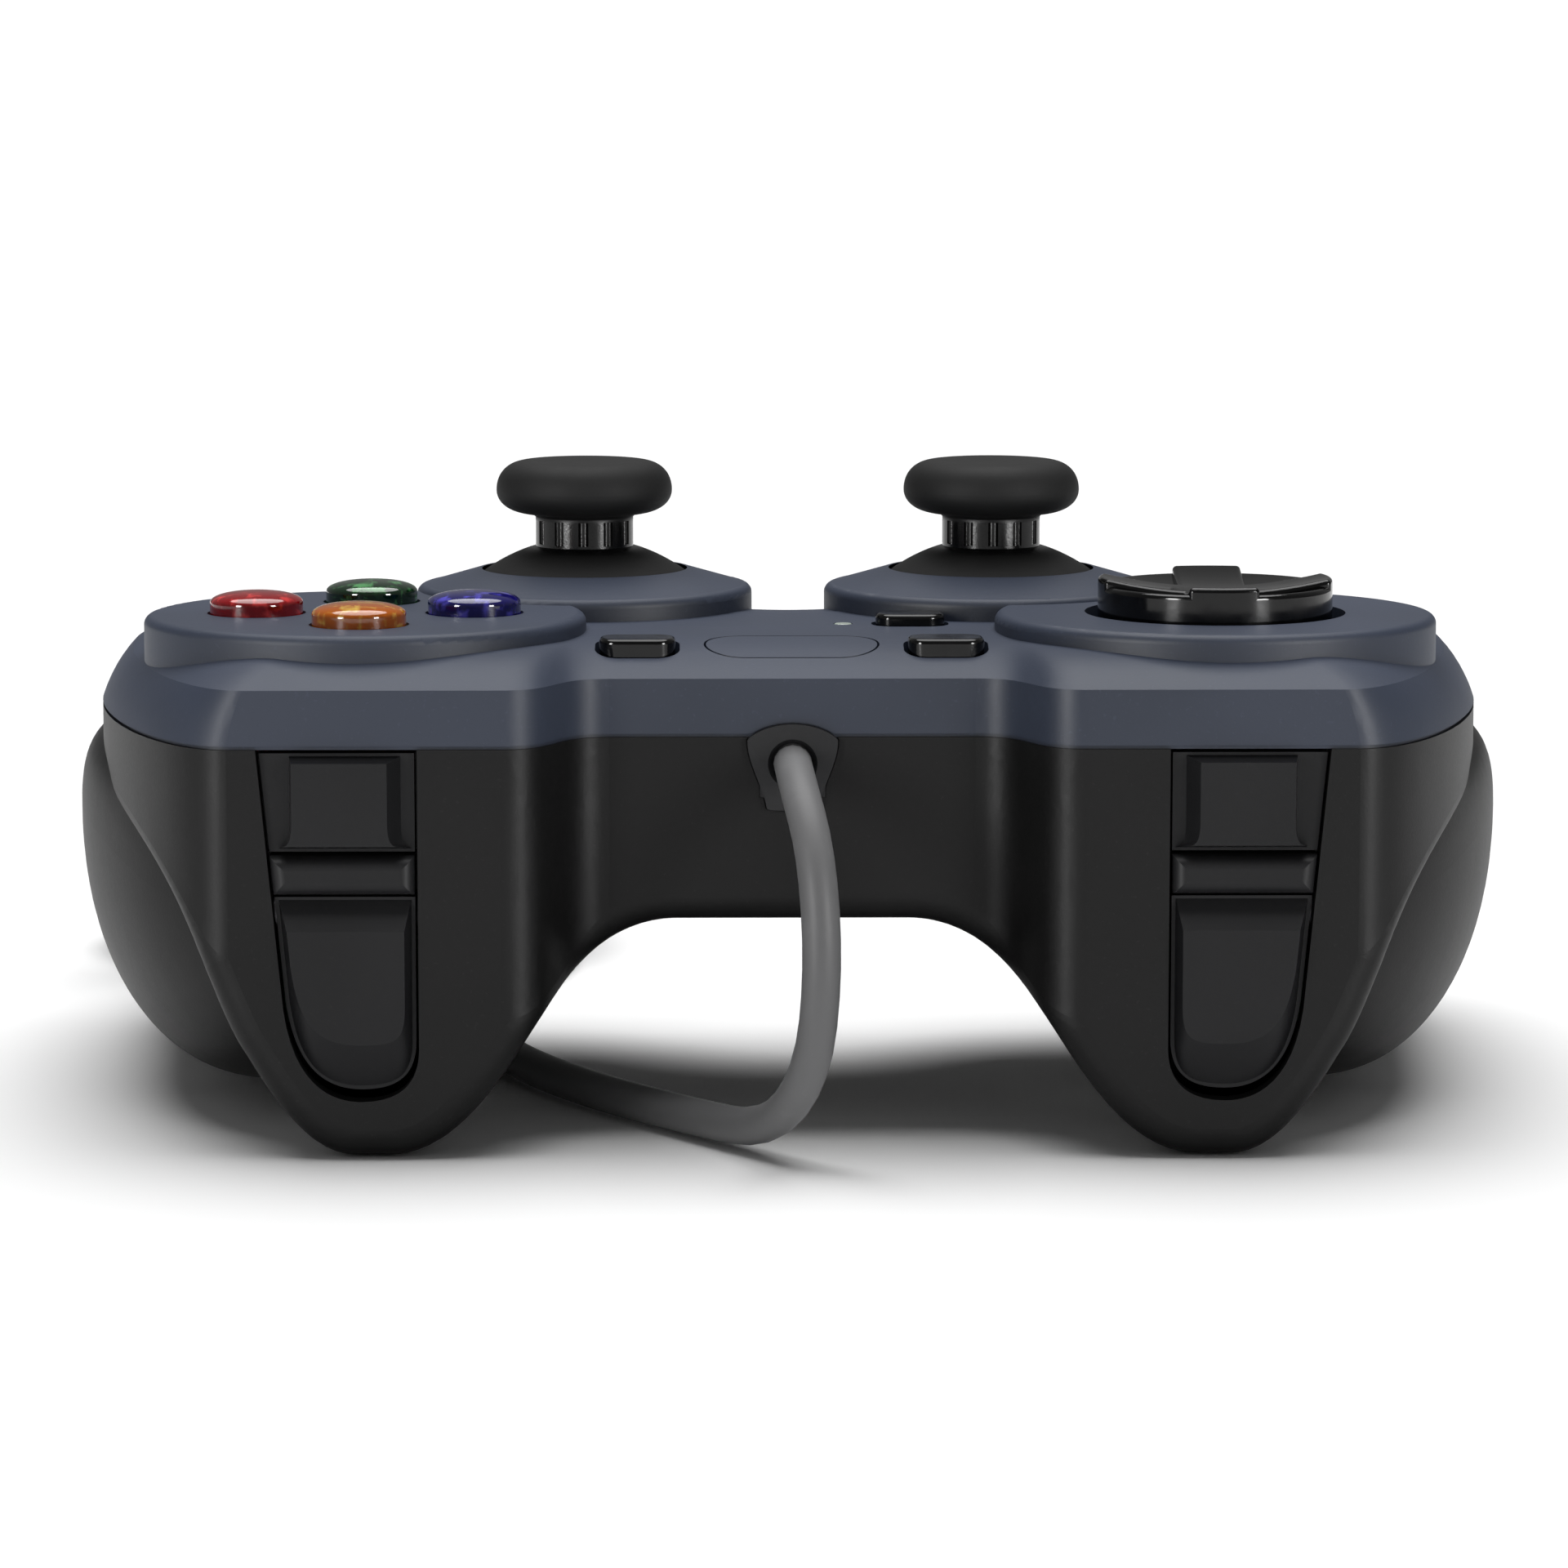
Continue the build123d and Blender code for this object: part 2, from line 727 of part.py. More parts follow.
def top_shell():
    """Blue shell: deck, raised plates and every opening that a control comes through."""
    form = top_form()
    plates = face_plate() + face_plate().mirror(Plane.YZ)
    sticks = stick_plate() + stick_plate().mirror(Plane.YZ)
    outer = form + plates + sticks
    low = mirrored_face(deck_half(wall, wall, wall), parting_height)
    step_level = parting_height + cavity_step_share * (rim_height - parting_height)
    high_plan = deck_half(wall + rim_front_inset, wall + cavity_step_share * rim_side_inset,
                          wall + cavity_step_share * rim_back_inset)
    cavity = loft([low, mirrored_face(high_plan, step_level)], ruled=True)
    roof_plan = deck_half(rim_front_inset + roof_inset, rim_side_inset + roof_inset,
                          rim_back_inset + roof_inset)
    roof = extrude(mirrored_face(roof_plan, step_level - clearance), amount=crown_height - wall - step_level)
    cavity += roof
    cavity += both(rod(plate_x, plate_y, step_level - clearance, plate_height - wall, plate_radius - wall))
    post_low = case_post_height + clearance
    posts = [rod(x, y, post_low, crown_height - wall, top_post_radius) for x, y in case_screw_places()]
    shell = outer - cavity + (Part() + posts & form)
    shell -= both(Pos(stick_x, stick_y, stick_pivot_height) * Sphere(dome_outer + dome_gap))
    shell -= rod(plate_x, plate_y, parting_height, plate_height + overrun, dpad_hole_radius)
    for name, x, y in face_button_places():
        shell -= rod(x, y, parting_height, plate_height + overrun, button_radius + button_hole_gap)
    for name, x, y, width, depth, rise in small_button_places:
        gap = 2 * small_hole_gap
        shell -= tablet(x, y, width + gap, depth + gap, small_corner + small_hole_gap, parting_height,
                        crown_height + overrun)
        gap = 2 * (small_flange + small_pocket_gap)
        shell -= tablet(x, y, width + gap, depth + gap, small_corner + small_flange, parting_height,
                        small_flange_top() + clearance)
    badge_floor = badge_level()
    shell -= tablet(0, badge_y, badge_width + 2 * badge_groove, badge_depth + 2 * badge_groove,
                    badge_depth / 2 - fit_gap + badge_groove, badge_floor, crown_height + overrun)
    shell -= rod(light_x, light_y, parting_height, crown_height + overrun, light_radius + fit_gap)
    shell -= grommet_hole()
    hole_top = case_post_height + case_screw_reach
    for x, y in case_screw_places():
        shell -= rod(x, y, case_post_height, hole_top, case_screw_radius + fit_gap)
    return shell


def face_plate():
    """Raised round plate round the direction pad or the face buttons."""
    plate = rod(plate_x, plate_y, rim_height, plate_height, plate_radius)
    return fillet(plate.edges().group_by(Axis.Z)[-1], plate_edge_radius)


def stick_plate():
    """Raised ring round a thumb stick, its top sloping up to the opening."""
    plate = rod(stick_x, stick_y, rim_height, stick_plate_height, stick_plate_radius)
    plate = fillet(plate.edges().group_by(Axis.Z)[-1], plate_edge_radius)
    rise = stick_cone_height - stick_plate_height
    top_radius = stick_plate_radius * cone_top_share
    cone = Cone(stick_plate_radius - plate_edge_radius, top_radius, rise,
                align=(Align.CENTER, Align.CENTER, Align.MIN))
    return plate + Pos(stick_x, stick_y, stick_plate_height) * cone


def badge_level():
    """Height of the floor that the badge plate lies on."""
    return rim_height + badge_floor_share * crown_rise


def badge_plate():
    """Bare badge plate, its face following the deck."""
    blank = tablet(0, badge_y, badge_width, badge_depth, badge_depth / 2 - fit_gap, badge_level(),
                   crown_height + overrun)
    return blank & top_form()


def status_light():
    """Small light pipe beside the mode button."""
    top = crown_height + fit_gap
    pipe = rod(light_x, light_y, top - light_length, top, light_radius)
    return fillet(pipe.edges().group_by(Axis.Z)[-1], light_radius / 4)


def face_button_places():
    """Name and centre of each face button."""
    centre = -plate_x
    return (("green_button", centre, plate_y + button_spread),
            ("amber_button", centre, plate_y - button_spread),
            ("red_button", centre - button_spread, plate_y), ("blue_button", centre + button_spread, plate_y))


def face_button(x, y):
    """Domed round button with a flange under the shell and a foot over its dome."""
    flange_top = plate_height - wall - clearance
    flange_low = flange_top - button_flange_thickness
    foot_low = button_board_top() + sheet_thickness + face_dome_height + button_travel + clearance
    rise = button_top - button_shoulder
    profile = [
        Line((0, foot_low), (button_foot_radius, foot_low)),
        Line((button_foot_radius, foot_low), (button_foot_radius, flange_low)),
        Line((button_foot_radius, flange_low), (button_radius + button_flange, flange_low)),
        Line((button_radius + button_flange, flange_low), (button_radius + button_flange, flange_top)),
        Line((button_radius + button_flange, flange_top), (button_radius, flange_top)),
        Line((button_radius, flange_top), (button_radius, button_shoulder)),
        Bezier((button_radius, button_shoulder), (button_radius, button_shoulder + rise * dome_side_share),
               (button_radius * dome_flat_share, button_top), (0, button_top)),
        Line((0, button_top), (0, foot_low)),
    ]
    return Pos(x, y, 0) * turned(profile)


def turned(profile):
    """A solid turned about Z from half of its upright section."""
    return revolve(Plane.XZ * Face(Wire(profile)), axis=Axis.Z)


def button_board_top():
    """Height of the upper face of the button board."""
    return button_board_level + board_thickness


def small_flange_top():
    """Height of the top of the flange under each small button."""
    low = button_board_top() + sheet_thickness + small_dome_height + small_travel + clearance
    return low + small_flange_thickness


def small_button(x, y, width, depth, rise):
    """Small rounded button with its flange."""
    top = crown_height + rise
    flange_top = small_flange_top()
    cap = tablet(x, y, width, depth, small_corner, flange_top - small_flange_thickness, top)
    cap = fillet(cap.edges().group_by(Axis.Z)[-1], small_edge_round)
    return cap + tablet(x, y, width + 2 * small_flange, depth + 2 * small_flange, small_corner + small_flange,
                        flange_top - small_flange_thickness, flange_top)


def face_button_membrane():
    """Rubber sheet with a dome under each face button."""
    base = button_board_top()
    top = base + sheet_thickness
    sheet = rod(-plate_x, plate_y, base, top, sheet_radius)
    for name, x, y in face_button_places():
        sheet += Pos(x, y, top) * Cone(dome_radius, dome_radius * dome_top_share, face_dome_height,
                                       align=(Align.CENTER, Align.CENTER, Align.MIN))
    return sheet


def dpad_membrane():
    """Rubber sheet with a dome under each arm of the direction pad."""
    base = button_board_top()
    top = base + sheet_thickness
    sheet = rod(plate_x, plate_y, base, top, sheet_radius) - rod(plate_x, plate_y, base, top, dpad_sheet_hole)
    for turn in range(4):
        angle = turn * math.pi / 2
        place = Pos(plate_x + dpad_dome_x() * math.cos(angle), plate_y + dpad_dome_x() * math.sin(angle), top)
        sheet += place * Cone(dome_radius * dpad_dome_share, dome_radius * dpad_dome_share * dome_top_share,
                              dpad_dome_height, align=(Align.CENTER, Align.CENTER, Align.MIN))
    return sheet


def dpad_dome_x():
    """Distance of the domes from the centre of the direction pad."""
    return (dpad_sheet_hole + sheet_radius) / 2


def centre_button_membrane():
    """Rubber sheet with a dome under start, back and mode."""
    base = button_board_top()
    top = base + sheet_thickness
    parts = []
    for name, x, y, width, depth, rise in small_button_places:
        parts.append(tablet(x, y, width, depth, small_corner, base, top))
        parts.append(Pos(x, y, top) * Cone(small_dome_radius, small_dome_radius * dome_top_share,
                                           small_dome_height, align=(Align.CENTER, Align.CENTER, Align.MIN)))
    start = small_button_places[0]
    back = small_button_places[1]
    mode = small_button_places[2]
    strip = span(start[1], back[1], start[2] - strip_half, start[2] + strip_half, base, top)
    link = span(mode[1] - strip_half, mode[1] + strip_half, back[2], mode[2], base, top)
    return Part() + parts + [strip, link]


def dpad():
    """Direction pad: a dished disc with four rising arms, its flange and its hub."""
    low = dpad_pivot_height
    disc = rod(0, 0, low, dpad_centre_height + overrun, dpad_radius)
    dish = Pos(0, 0, dpad_centre_height + dpad_dish_radius) * Sphere(dpad_dish_radius)
    low_dish = Pos(0, 0, dpad_centre_height + dpad_dish_radius - dpad_arm_rise) * Sphere(dpad_dish_radius)
    arm = span(-dpad_radius, dpad_radius, -dpad_arm_width / 2, dpad_arm_width / 2, low,
               dpad_centre_height + overrun)
    cross = (arm + Rot(0, 0, 90) * arm) & disc
    pad = (disc - low_dish) + (cross - dish)
    rims = [edge for edge in pad.edges() if edge.bounding_box().min.Z > dpad_centre_height - fit_gap]
    pad = fillet(rims, dpad_edge_round)
    pad += rod(0, 0, low, low + dpad_flange_thickness, dpad_flange_radius)
    pad += rod(0, 0, dpad_hub_low, low + dpad_flange_thickness, dpad_hub_outer)
    pad -= rod(0, 0, dpad_hub_low, dpad_hub_roof, dpad_hub_inner)
    reach = ring_outer + 2 * overrun
    pad -= rod_y(0, -reach / 2 - clearance, reach / 2 + clearance, low, gimbal_pin_radius + fit_gap) & rod(
        0, 0, dpad_hub_low, dpad_hub_roof, dpad_hub_outer - dpad_pin_skin)
    return Pos(plate_x, plate_y, 0) * pad


def dpad_pivot():
    """Gimbal ring of the direction pad, with the two pins that the hub turns on."""
    low = dpad_pivot_height - ring_half_height
    high = dpad_pivot_height + ring_half_height
    ring = rod(0, 0, low, high, ring_outer) - rod(0, 0, low, high, ring_inner)
    ring -= rod_x(-ring_outer, ring_outer, 0, dpad_pivot_height, gimbal_pin_radius + fit_gap)
    pin_end = dpad_hub_outer - dpad_pin_skin - fit_gap
    pin_start = (ring_inner + ring_outer) / 2
    for side in (1, -1):
        ring += rod_y(0, side * pin_start, side * pin_end, dpad_pivot_height, gimbal_pin_radius)
    return Pos(plate_x, plate_y, 0) * ring


def dpad_post():
    """Fixed post in the middle of the direction pad, with the two pins of the gimbal ring."""
    post = rod(0, 0, button_board_top(), gimbal_post_top, gimbal_post_radius)
    pin_end = (ring_inner + ring_outer) / 2
    post += rod_x(-pin_end, pin_end, 0, dpad_pivot_height, gimbal_pin_radius)
    foot = rod(0, 0, button_board_top(), button_board_top() + sheet_thickness, ring_outer)
    return Pos(plate_x, plate_y, 0) * (post + foot)


def button_board():
    """Upper circuit board under the buttons."""
    low = button_board_level
    high = button_board_top()
    board = span(-button_board_reach, button_board_reach, button_board_front, button_board_back, low, high)
    board += both(rod(plate_x, plate_y, low, high, button_board_round))
    board += span(-button_tab_reach, button_tab_reach, button_board_back - overrun, button_tab_back,
                  low, high)
    return board - rod(0, case_centre_y, low, high, top_post_radius + clearance)


def main_board():
    """Lower circuit board that carries the stick modules."""
    plan = mirrored_face(deck_half(main_board_inset, main_board_inset, main_board_inset), main_board_level)
    slab = extrude(plan, amount=board_thickness)
    slab &= span(-main_board_reach, main_board_reach, main_board_front, half_depth, main_board_level,
                 parting_height)
    slab -= rod(0, case_centre_y, main_board_level, parting_height, case_post_radius + clearance)
    for x, y in paired(main_post_shares):
        slab -= rod(x, y, main_board_level, parting_height, board_screw_radius + case_hole_gap)
    return slab


def main_board_top():
    """Height of the upper face of the main board."""
    return main_board_level + board_thickness


def board_screws():
    """Screws that hold the main board on its posts."""
    top = main_board_top()
    screws = []
    for x, y in paired(main_post_shares):
        shank = rod(x, y, top - board_screw_length, top, board_screw_radius)
        head = rod(x, y, top, top + board_screw_head_height, board_screw_head)
        screws.append(shank + head)
    return Part() + screws


def controller_chip():
    """Controller chip on the main board."""
    top = main_board_top()
    half = chip_side / 2
    return span(-half, half, chip_y - half, chip_y + half, top, top + chip_height)


def cable_connector():
    """Connector of the inner lead on the main board."""
    return span(-connector_width / 2, connector_width / 2, connector_y - connector_depth / 2,
                connector_y + connector_depth / 2, main_board_top(), cable_exit_height + connector_cover)


def board_ribbon():
    """Flat ribbon between the two boards."""
    return span(ribbon_x - ribbon_width / 2, ribbon_x + ribbon_width / 2, ribbon_y - ribbon_thickness / 2,
                ribbon_y + ribbon_thickness / 2, main_board_top(), button_board_level)


def shoulder_bezel():
    """Rounded bar between the shoulder buttons, with an ear at each end for the trigger pin."""
    outline = stand_behind(opening_edges(clearance), bar_front, bar_back)
    bar = outline & span(0, half_width, bar_front, bar_back, bar_low, bar_high)
    bar = fillet(bar.edges().group_by(Axis.Y)[0], bar_round)
    back = span(ear_inner_start, ear_outer_end, ear_front, bar_back, bar_low, bar_high)
    inner_ear = span(ear_inner_start, ear_inner_end, lobe_front + wall, ear_back, ear_low, bar_high)
    outer_ear = span(ear_outer_start, ear_outer_end, ear_front, ear_back, ear_low, bar_high)
    bezel = bar + back + inner_ear + outer_ear
    return bezel - rod_x(ear_inner_start, ear_outer_end, trigger_pin_y, trigger_pin_z,
                         trigger_pin_radius + fit_gap / 2)


def trigger_pin():
    """Pin that the lower shoulder button turns on."""
    return rod_x(ear_inner_start, ear_outer_end, trigger_pin_y, trigger_pin_z, trigger_pin_radius)


def trigger_spring():
    """Return spring wound round the pin beside the trigger's hub."""
    inner = trigger_pin_radius + clearance
    outer = inner + spring_thickness
    return rod_x(spring_start, spring_end, trigger_pin_y, trigger_pin_z, outer) - rod_x(
        spring_start, spring_end, trigger_pin_y, trigger_pin_z, inner)


def standing_face(edges, y):
    """A face seen from the front, standing at a depth."""
    return Plane(origin=(0, y, 0), x_dir=(1, 0, 0), z_dir=(0, -1, 0)) * Face(Wire(edges))


def raised(back_edges, front_edges, back, front):
    """A tapered boss between a back outline and a smaller front outline, both seen from the front."""
    return loft([standing_face(back_edges, back), standing_face(front_edges, front)], ruled=True)


def flared(inner, outer, low, high):
    """Outline of the upper button's face, its lower corners flaring out."""
    flare_z = low + bumper_flare_height
    reach = bumper_flare_height / 2
    return [
        Line((inner, high), (inner, flare_z)),
        Bezier((inner, flare_z), (inner, flare_z - reach), (inner, low), (inner - bumper_flare, low)),
        Line((inner - bumper_flare, low), (outer + bumper_flare, low)),
        Bezier((outer + bumper_flare, low), (outer, low), (outer, flare_z - reach), (outer, flare_z)),
        Line((outer, flare_z), (outer, high)),
        Line((outer, high), (inner, high)),
    ]


def bumper():
    """Upper shoulder button with its raised face, flange and stem."""
    plate = stand_behind(opening_edges(clearance), bumper_front, bumper_back)
    plate &= span(0, half_width, bumper_front, bumper_back, bumper_low, bumper_high)
    inner = opening_inner + 2 * clearance
    outer = opening_outer_low + clearance
    base = flared(inner + bumper_flare, outer - bumper_flare, bumper_low + clearance, bumper_high - clearance)
    face = flared(inner + bumper_inner_bevel, outer - bumper_outer_bevel / 2, bumper_low + bumper_low_bevel,
                  bumper_high - bumper_top_bevel)
    plate += raised(base, face, bumper_front, bumper_face_front)
    flange_front = bumper_back - bumper_flange_thickness
    flange = span(opening_inner - bumper_flange, opening_outer + bumper_flange, flange_front, bumper_back,
                  bumper_low, bumper_high)
    stem_end = shoulder_switch_front() - bumper_travel - clearance
    half = bumper_stem / 2
    stem = span(bumper_stem_x - half, bumper_stem_x + half, bumper_back - clearance, stem_end,
                bumper_stem_z - half, bumper_stem_z + half)
    return plate + flange + stem


def shoulder_switch_front():
    """Front of the plungers on the shoulder board."""
    return shoulder_board_front - switch_height - plunger_height


def trigger():
    """Lower shoulder button with its raised face, hub and pusher."""
    plate = stand_behind(opening_edges(clearance, trigger_lift), trigger_front, trigger_back)
    plate &= span(0, half_width, trigger_front, trigger_back, 0, trigger_top)
    base = opening_edges(trigger_base_gap, trigger_lift, trigger_top - clearance)
    face = opening_edges(trigger_face_gap, trigger_face_lift, trigger_top - trigger_face_drop)
    plate += raised(base, face, trigger_front, trigger_face_front)
    hub = rod_x(trigger_hub_start, trigger_hub_end, trigger_pin_y, trigger_pin_z, trigger_hub_radius)
    web = span(trigger_hub_start + clearance, trigger_hub_end, trigger_back - clearance, trigger_pin_y,
               trigger_web_low, trigger_pin_z + trigger_hub_radius / 2)
    half = bumper_stem / 2
    pusher = span(bumper_stem_x - half, bumper_stem_x + half, trigger_back - clearance, trigger_pusher_end,
                  trigger_pusher_z - half, trigger_pusher_z + half)
    return plate + hub + web + pusher - rod_x(0, half_width, trigger_pin_y, trigger_pin_z,
                                              trigger_pin_radius + fit_gap)


def shoulder_board():
    """Upright circuit board behind the shoulder buttons."""
    return span(shoulder_board_start, shoulder_board_end, shoulder_board_front,
                shoulder_board_front + board_thickness, shoulder_board_low, shoulder_board_high)


def shoulder_switches():
    """Two switches on the shoulder board, one for each shoulder button."""
    half = switch_side / 2
    back = shoulder_board_front
    switches = []
    for z in (bumper_stem_z, trigger_pusher_z):
        body = span(bumper_stem_x - half, bumper_stem_x + half, back - switch_height, back,
                    z - half, z + half)
        plunger = rod_y(bumper_stem_x, back - switch_height - plunger_height, back - switch_height, z,
                        plunger_radius)
        switches.append(body + plunger)
    return Part() + switches


def stick_frame():
    """Frame of a stick module, with holes for the pins of the two yokes."""
    low = main_board_top() - stick_pivot_height
    frame = span(-module_half, module_half, -module_half, module_half, low, module_rise)
    inner = module_half - module_wall
    frame -= span(-inner, inner, -inner, inner, low + module_wall, module_rise)
    hole = yoke_pin_radius + fit_gap
    frame -= rod_x(-module_half, module_half, 0, 0, hole)
    frame -= rod_y(0, -module_half, module_half, 0, hole)
    return frame


def stick_potentiometers():
    """Two potentiometers, one on each yoke's pin."""
    low = main_board_top() - stick_pivot_height
    hole = yoke_pin_radius + fit_gap
    side = span(-module_half - pot_depth, -module_half, -pot_half, pot_half, low, module_rise)
    side -= rod_x(-yoke_pin_end - clearance, -module_half, 0, 0, hole)
    front = span(-pot_half, pot_half, -module_half - pot_depth, -module_half, low, module_rise)
    front -= rod_y(0, -yoke_pin_end - clearance, -module_half, 0, hole)
    return Part() + [side, front]


def stick_click_switch():
    """Switch in the foot of the frame, under the end of the shaft."""
    low = main_board_top() - stick_pivot_height + module_wall
    half = click_switch_side / 2
    return span(-half, half, -half, half, low, low + click_switch_height)


def lower_yoke():
    """Ring that rocks about X and carries the stick's pivot block."""
    ring = span(-yoke_half, yoke_half, -cradle_half_depth, cradle_half_depth, -cradle_half_height,
                cradle_half_height)
    ring -= span(-cradle_inner_width, cradle_inner_width, -cradle_inner_depth, cradle_inner_depth,
                 -cradle_half_height, cradle_half_height)
    ring -= rod_y(0, -cradle_half_depth, cradle_half_depth, 0, block_pin_radius + fit_gap)
    for side in (1, -1):
        ring += rod_x(side * (yoke_half - clearance), side * yoke_pin_end, 0, 0, yoke_pin_radius)
    return ring


def upper_yoke():
    """Arch that rocks about Y, with the slot that the stick runs in."""
    arch = span(-yoke_half_width, yoke_half_width, -yoke_half, yoke_half, -yoke_low, yoke_top)
    inner = yoke_half - yoke_leg
    arch -= span(-yoke_half_width, yoke_half_width, -inner, inner, -yoke_low, yoke_top - yoke_plate)
    arch -= span(-yoke_slot, yoke_slot, -yoke_slot_length, yoke_slot_length, 0, yoke_top)
    for side in (1, -1):
        arch += rod_y(0, side * (yoke_half - clearance), side * yoke_pin_end, 0, yoke_pin_radius)
    return arch


def stick_pivot():
    """Block that turns on two pins in the lower yoke and guides the shaft."""
    block = span(-block_half, block_half, -block_half, block_half, -block_half_height, block_half_height)
    for side in (1, -1):
        block += rod_y(0, side * (block_half - clearance), side * block_pin_end, 0, block_pin_radius)
    return block - rod(0, 0, -block_half_height, block_half_height, shaft_radius + fit_gap)


def stick_shaft():
    """Shaft of a stick."""
    shaft = rod(0, 0, -shaft_low, shaft_high, shaft_radius)
    return fillet(shaft.edges().group_by(Axis.Z)[0], shaft_radius / 2)


def stick_cap():
    """Rubber cap of a stick: rounded head, fluted stem and the dome that closes the opening."""
    reach = math.radians(dome_reach)
    inner = dome_outer - dome_thickness
    stem_foot = math.sqrt(dome_outer ** 2 - stem_radius ** 2)
    bore = shaft_radius + fit_gap
    under = math.sqrt(inner ** 2 - bore ** 2)
    outer_edge = (dome_outer * math.sin(reach), dome_outer * math.cos(reach))
    inner_edge = (inner * math.sin(reach), inner * math.cos(reach))
    half = reach / 2
    outer_mid = (dome_outer * math.sin(half), dome_outer * math.cos(half))
    inner_mid = (inner * math.sin(half), inner * math.cos(half))
    waist = (cap_radius, cap_waist)
    tuck = (stem_radius + cap_tuck, cap_under)
    profile = [
        Line((0, cap_top - cap_crown), (cap_flat, cap_top)),
        quarter((cap_flat, cap_top), waist, True, cap_round_share),
        Bezier(waist, (cap_radius, cap_waist - cap_round), (cap_radius - cap_round, cap_under), tuck),
        Line(tuck, (stem_radius, stem_top)),
        Line((stem_radius, stem_top), (stem_radius, stem_foot)),
        ThreePointArc((stem_radius, stem_foot), outer_mid, outer_edge),
        Line(outer_edge, inner_edge),
        ThreePointArc(inner_edge, inner_mid, (bore, under)),
        Line((bore, under), (bore, shaft_high)),
        Line((bore, shaft_high), (0, shaft_high)),
        Line((0, shaft_high), (0, cap_top - cap_crown)),
    ]
    cap = turned(profile)
    for turn in range(flute_count):
        angle = 2 * math.pi * turn / flute_count
        x = stem_radius * math.cos(angle)
        y = stem_radius * math.sin(angle)
        cap -= rod(x, y, stem_foot + clearance, stem_top - clearance, flute_radius)
    return cap


def at_stick(piece, side):
    """Place a piece of a stick module on one side, mirrored on the other."""
    placed = Pos(stick_x, stick_y, stick_pivot_height) * piece
    return placed if side > 0 else placed.mirror(Plane.YZ)


def grommet_edges(gap=0.0):
    """Front view outline of the grommet's flange."""
    wide = grommet_half_width + gap
    low_half = grommet_low_half + gap
    half = [
        Bezier((0, grommet_top + gap), (wide * shield_share, grommet_top + gap),
               (wide, grommet_wide_z + clearance + gap), (wide, grommet_wide_z)),
        Bezier((wide, grommet_wide_z), (wide, grommet_wide_z - shield_drop), (low_half + clearance,
               grommet_low + shield_drop), (low_half, grommet_low + clearance)),
        Bezier((low_half, grommet_low + clearance), (low_half, grommet_low - gap), (low_half * shield_share,
               grommet_low - gap), (0, grommet_low - gap)),
    ]
    return half + [edge.mirror(Plane.YZ) for edge in half]


def grommet_hole():
    """Space that the grommet takes in the two shells."""
    flange = stand_behind(grommet_edges(clearance / 2), middle_front - overrun, middle_front + grommet_sink)
    half = grommet_neck_half + fit_gap
    neck = span(-half, half, middle_front - overrun, middle_front + wall + overrun / 4,
                grommet_neck_low - fit_gap, parting_height)
    return flange + neck


def cable_grommet():
    """Grommet that holds the cable in the front wall: shield, neck and inner lip."""
    front = middle_front + grommet_sink - grommet_thickness
    shield = stand_behind(grommet_edges(), front, middle_front + grommet_sink)
    half = grommet_neck_half
    inner_face = middle_front + wall + clearance
    neck = span(-half, half, middle_front, inner_face, grommet_neck_low, parting_height)
    lip = span(-half - grommet_lip, half + grommet_lip, inner_face, inner_face + grommet_lip_thickness,
               grommet_neck_low - grommet_lip, parting_height - clearance)
    cup = Pos(0, front, cable_exit_height) * Rot(90, 0, 0) * Cone(
        cable_radius + fit_gap, cup_radius, 2 * cup_depth)
    return shield + neck + lip - cup


def round_path(points, name):
    """Straight runs joined by arcs as large as the runs allow, with the radii printed."""
    places = [Vector(*point) for point in points]
    radii = []
    for before, here, after in zip(places, places[1:], places[2:]):
        first = here - before
        second = after - here
        turn = math.radians(first.get_angle(second))
        radii.append(arc_share * min(first.length, second.length) / math.tan(turn / 2))
    print(name, "radii", [round(radius, 1) for radius in radii])
    return FilletPolyline(*places, radius=radii)


def tube(path, radius, name):
    """A round cord along a path, its volume set against its length."""
    start = path @ 0
    section = Plane(origin=start, z_dir=path % 0) * Circle(radius)
    solid = sweep(section, path=path)
    expected = math.pi * radius ** 2 * path.length
    print(name, "length", round(path.length, 1), "volume share", round(solid.volume / expected, 4))
    return solid


def cable_inner():
    """Inner lead from the grommet to its connector."""
    start = middle_front + wall + clearance + grommet_lip_thickness
    end = connector_y - connector_depth / 2
    return rod_y(0, start, end, cable_exit_height, inner_lead_radius)


def coil_path():
    """Turns of the coil: half circles about two centres, climbing where the spiral reverses."""
    level = coil_base
    radius = coil_outer
    step = coil_pitch / 2
    here = Vector(coil_centre_x + radius, coil_centre_y, level)
    heading = 1
    lead_end = Vector(*lead_points[-1])
    edges = [Edge.make_line(lead_end, here)]
    for layer in range(coil_layers):
        inward = layer % 2 == 0
        half_turns = 2 * coil_turns if layer < coil_layers - 1 else 2 * coil_turns - 1
        for half_turn in range(half_turns):
            change = -step if inward else step
            width = 2 * radius + change
            end = here - Vector(heading * width, 0, 0)
            top = (here + end) / 2 + Vector(0, heading * width / 2, 0)
            edges.append(Edge.make_three_point_arc(here, top, end))
            here = end
            heading = -heading
            radius += change
        if layer < coil_layers - 1:
            centre = here - Vector(heading * radius, 0, 0)
            reach = math.sqrt(radius ** 2 + (coil_rise / 2) ** 2)
            middle = centre + Vector(0, heading * reach, coil_rise / 2)
            end = here - Vector(heading * 2 * radius, 0, 0) + Vector(0, 0, coil_rise)
            edges.append(Edge.make_tangent_arc(here, Vector(0, heading, 0), middle))
            edges.append(Edge.make_tangent_arc(middle, edges[-1] % 1, end))
            here = end
            heading = -heading
    edges.append(Edge.make_line(here, Vector(*tail_points[0])))
    return edges


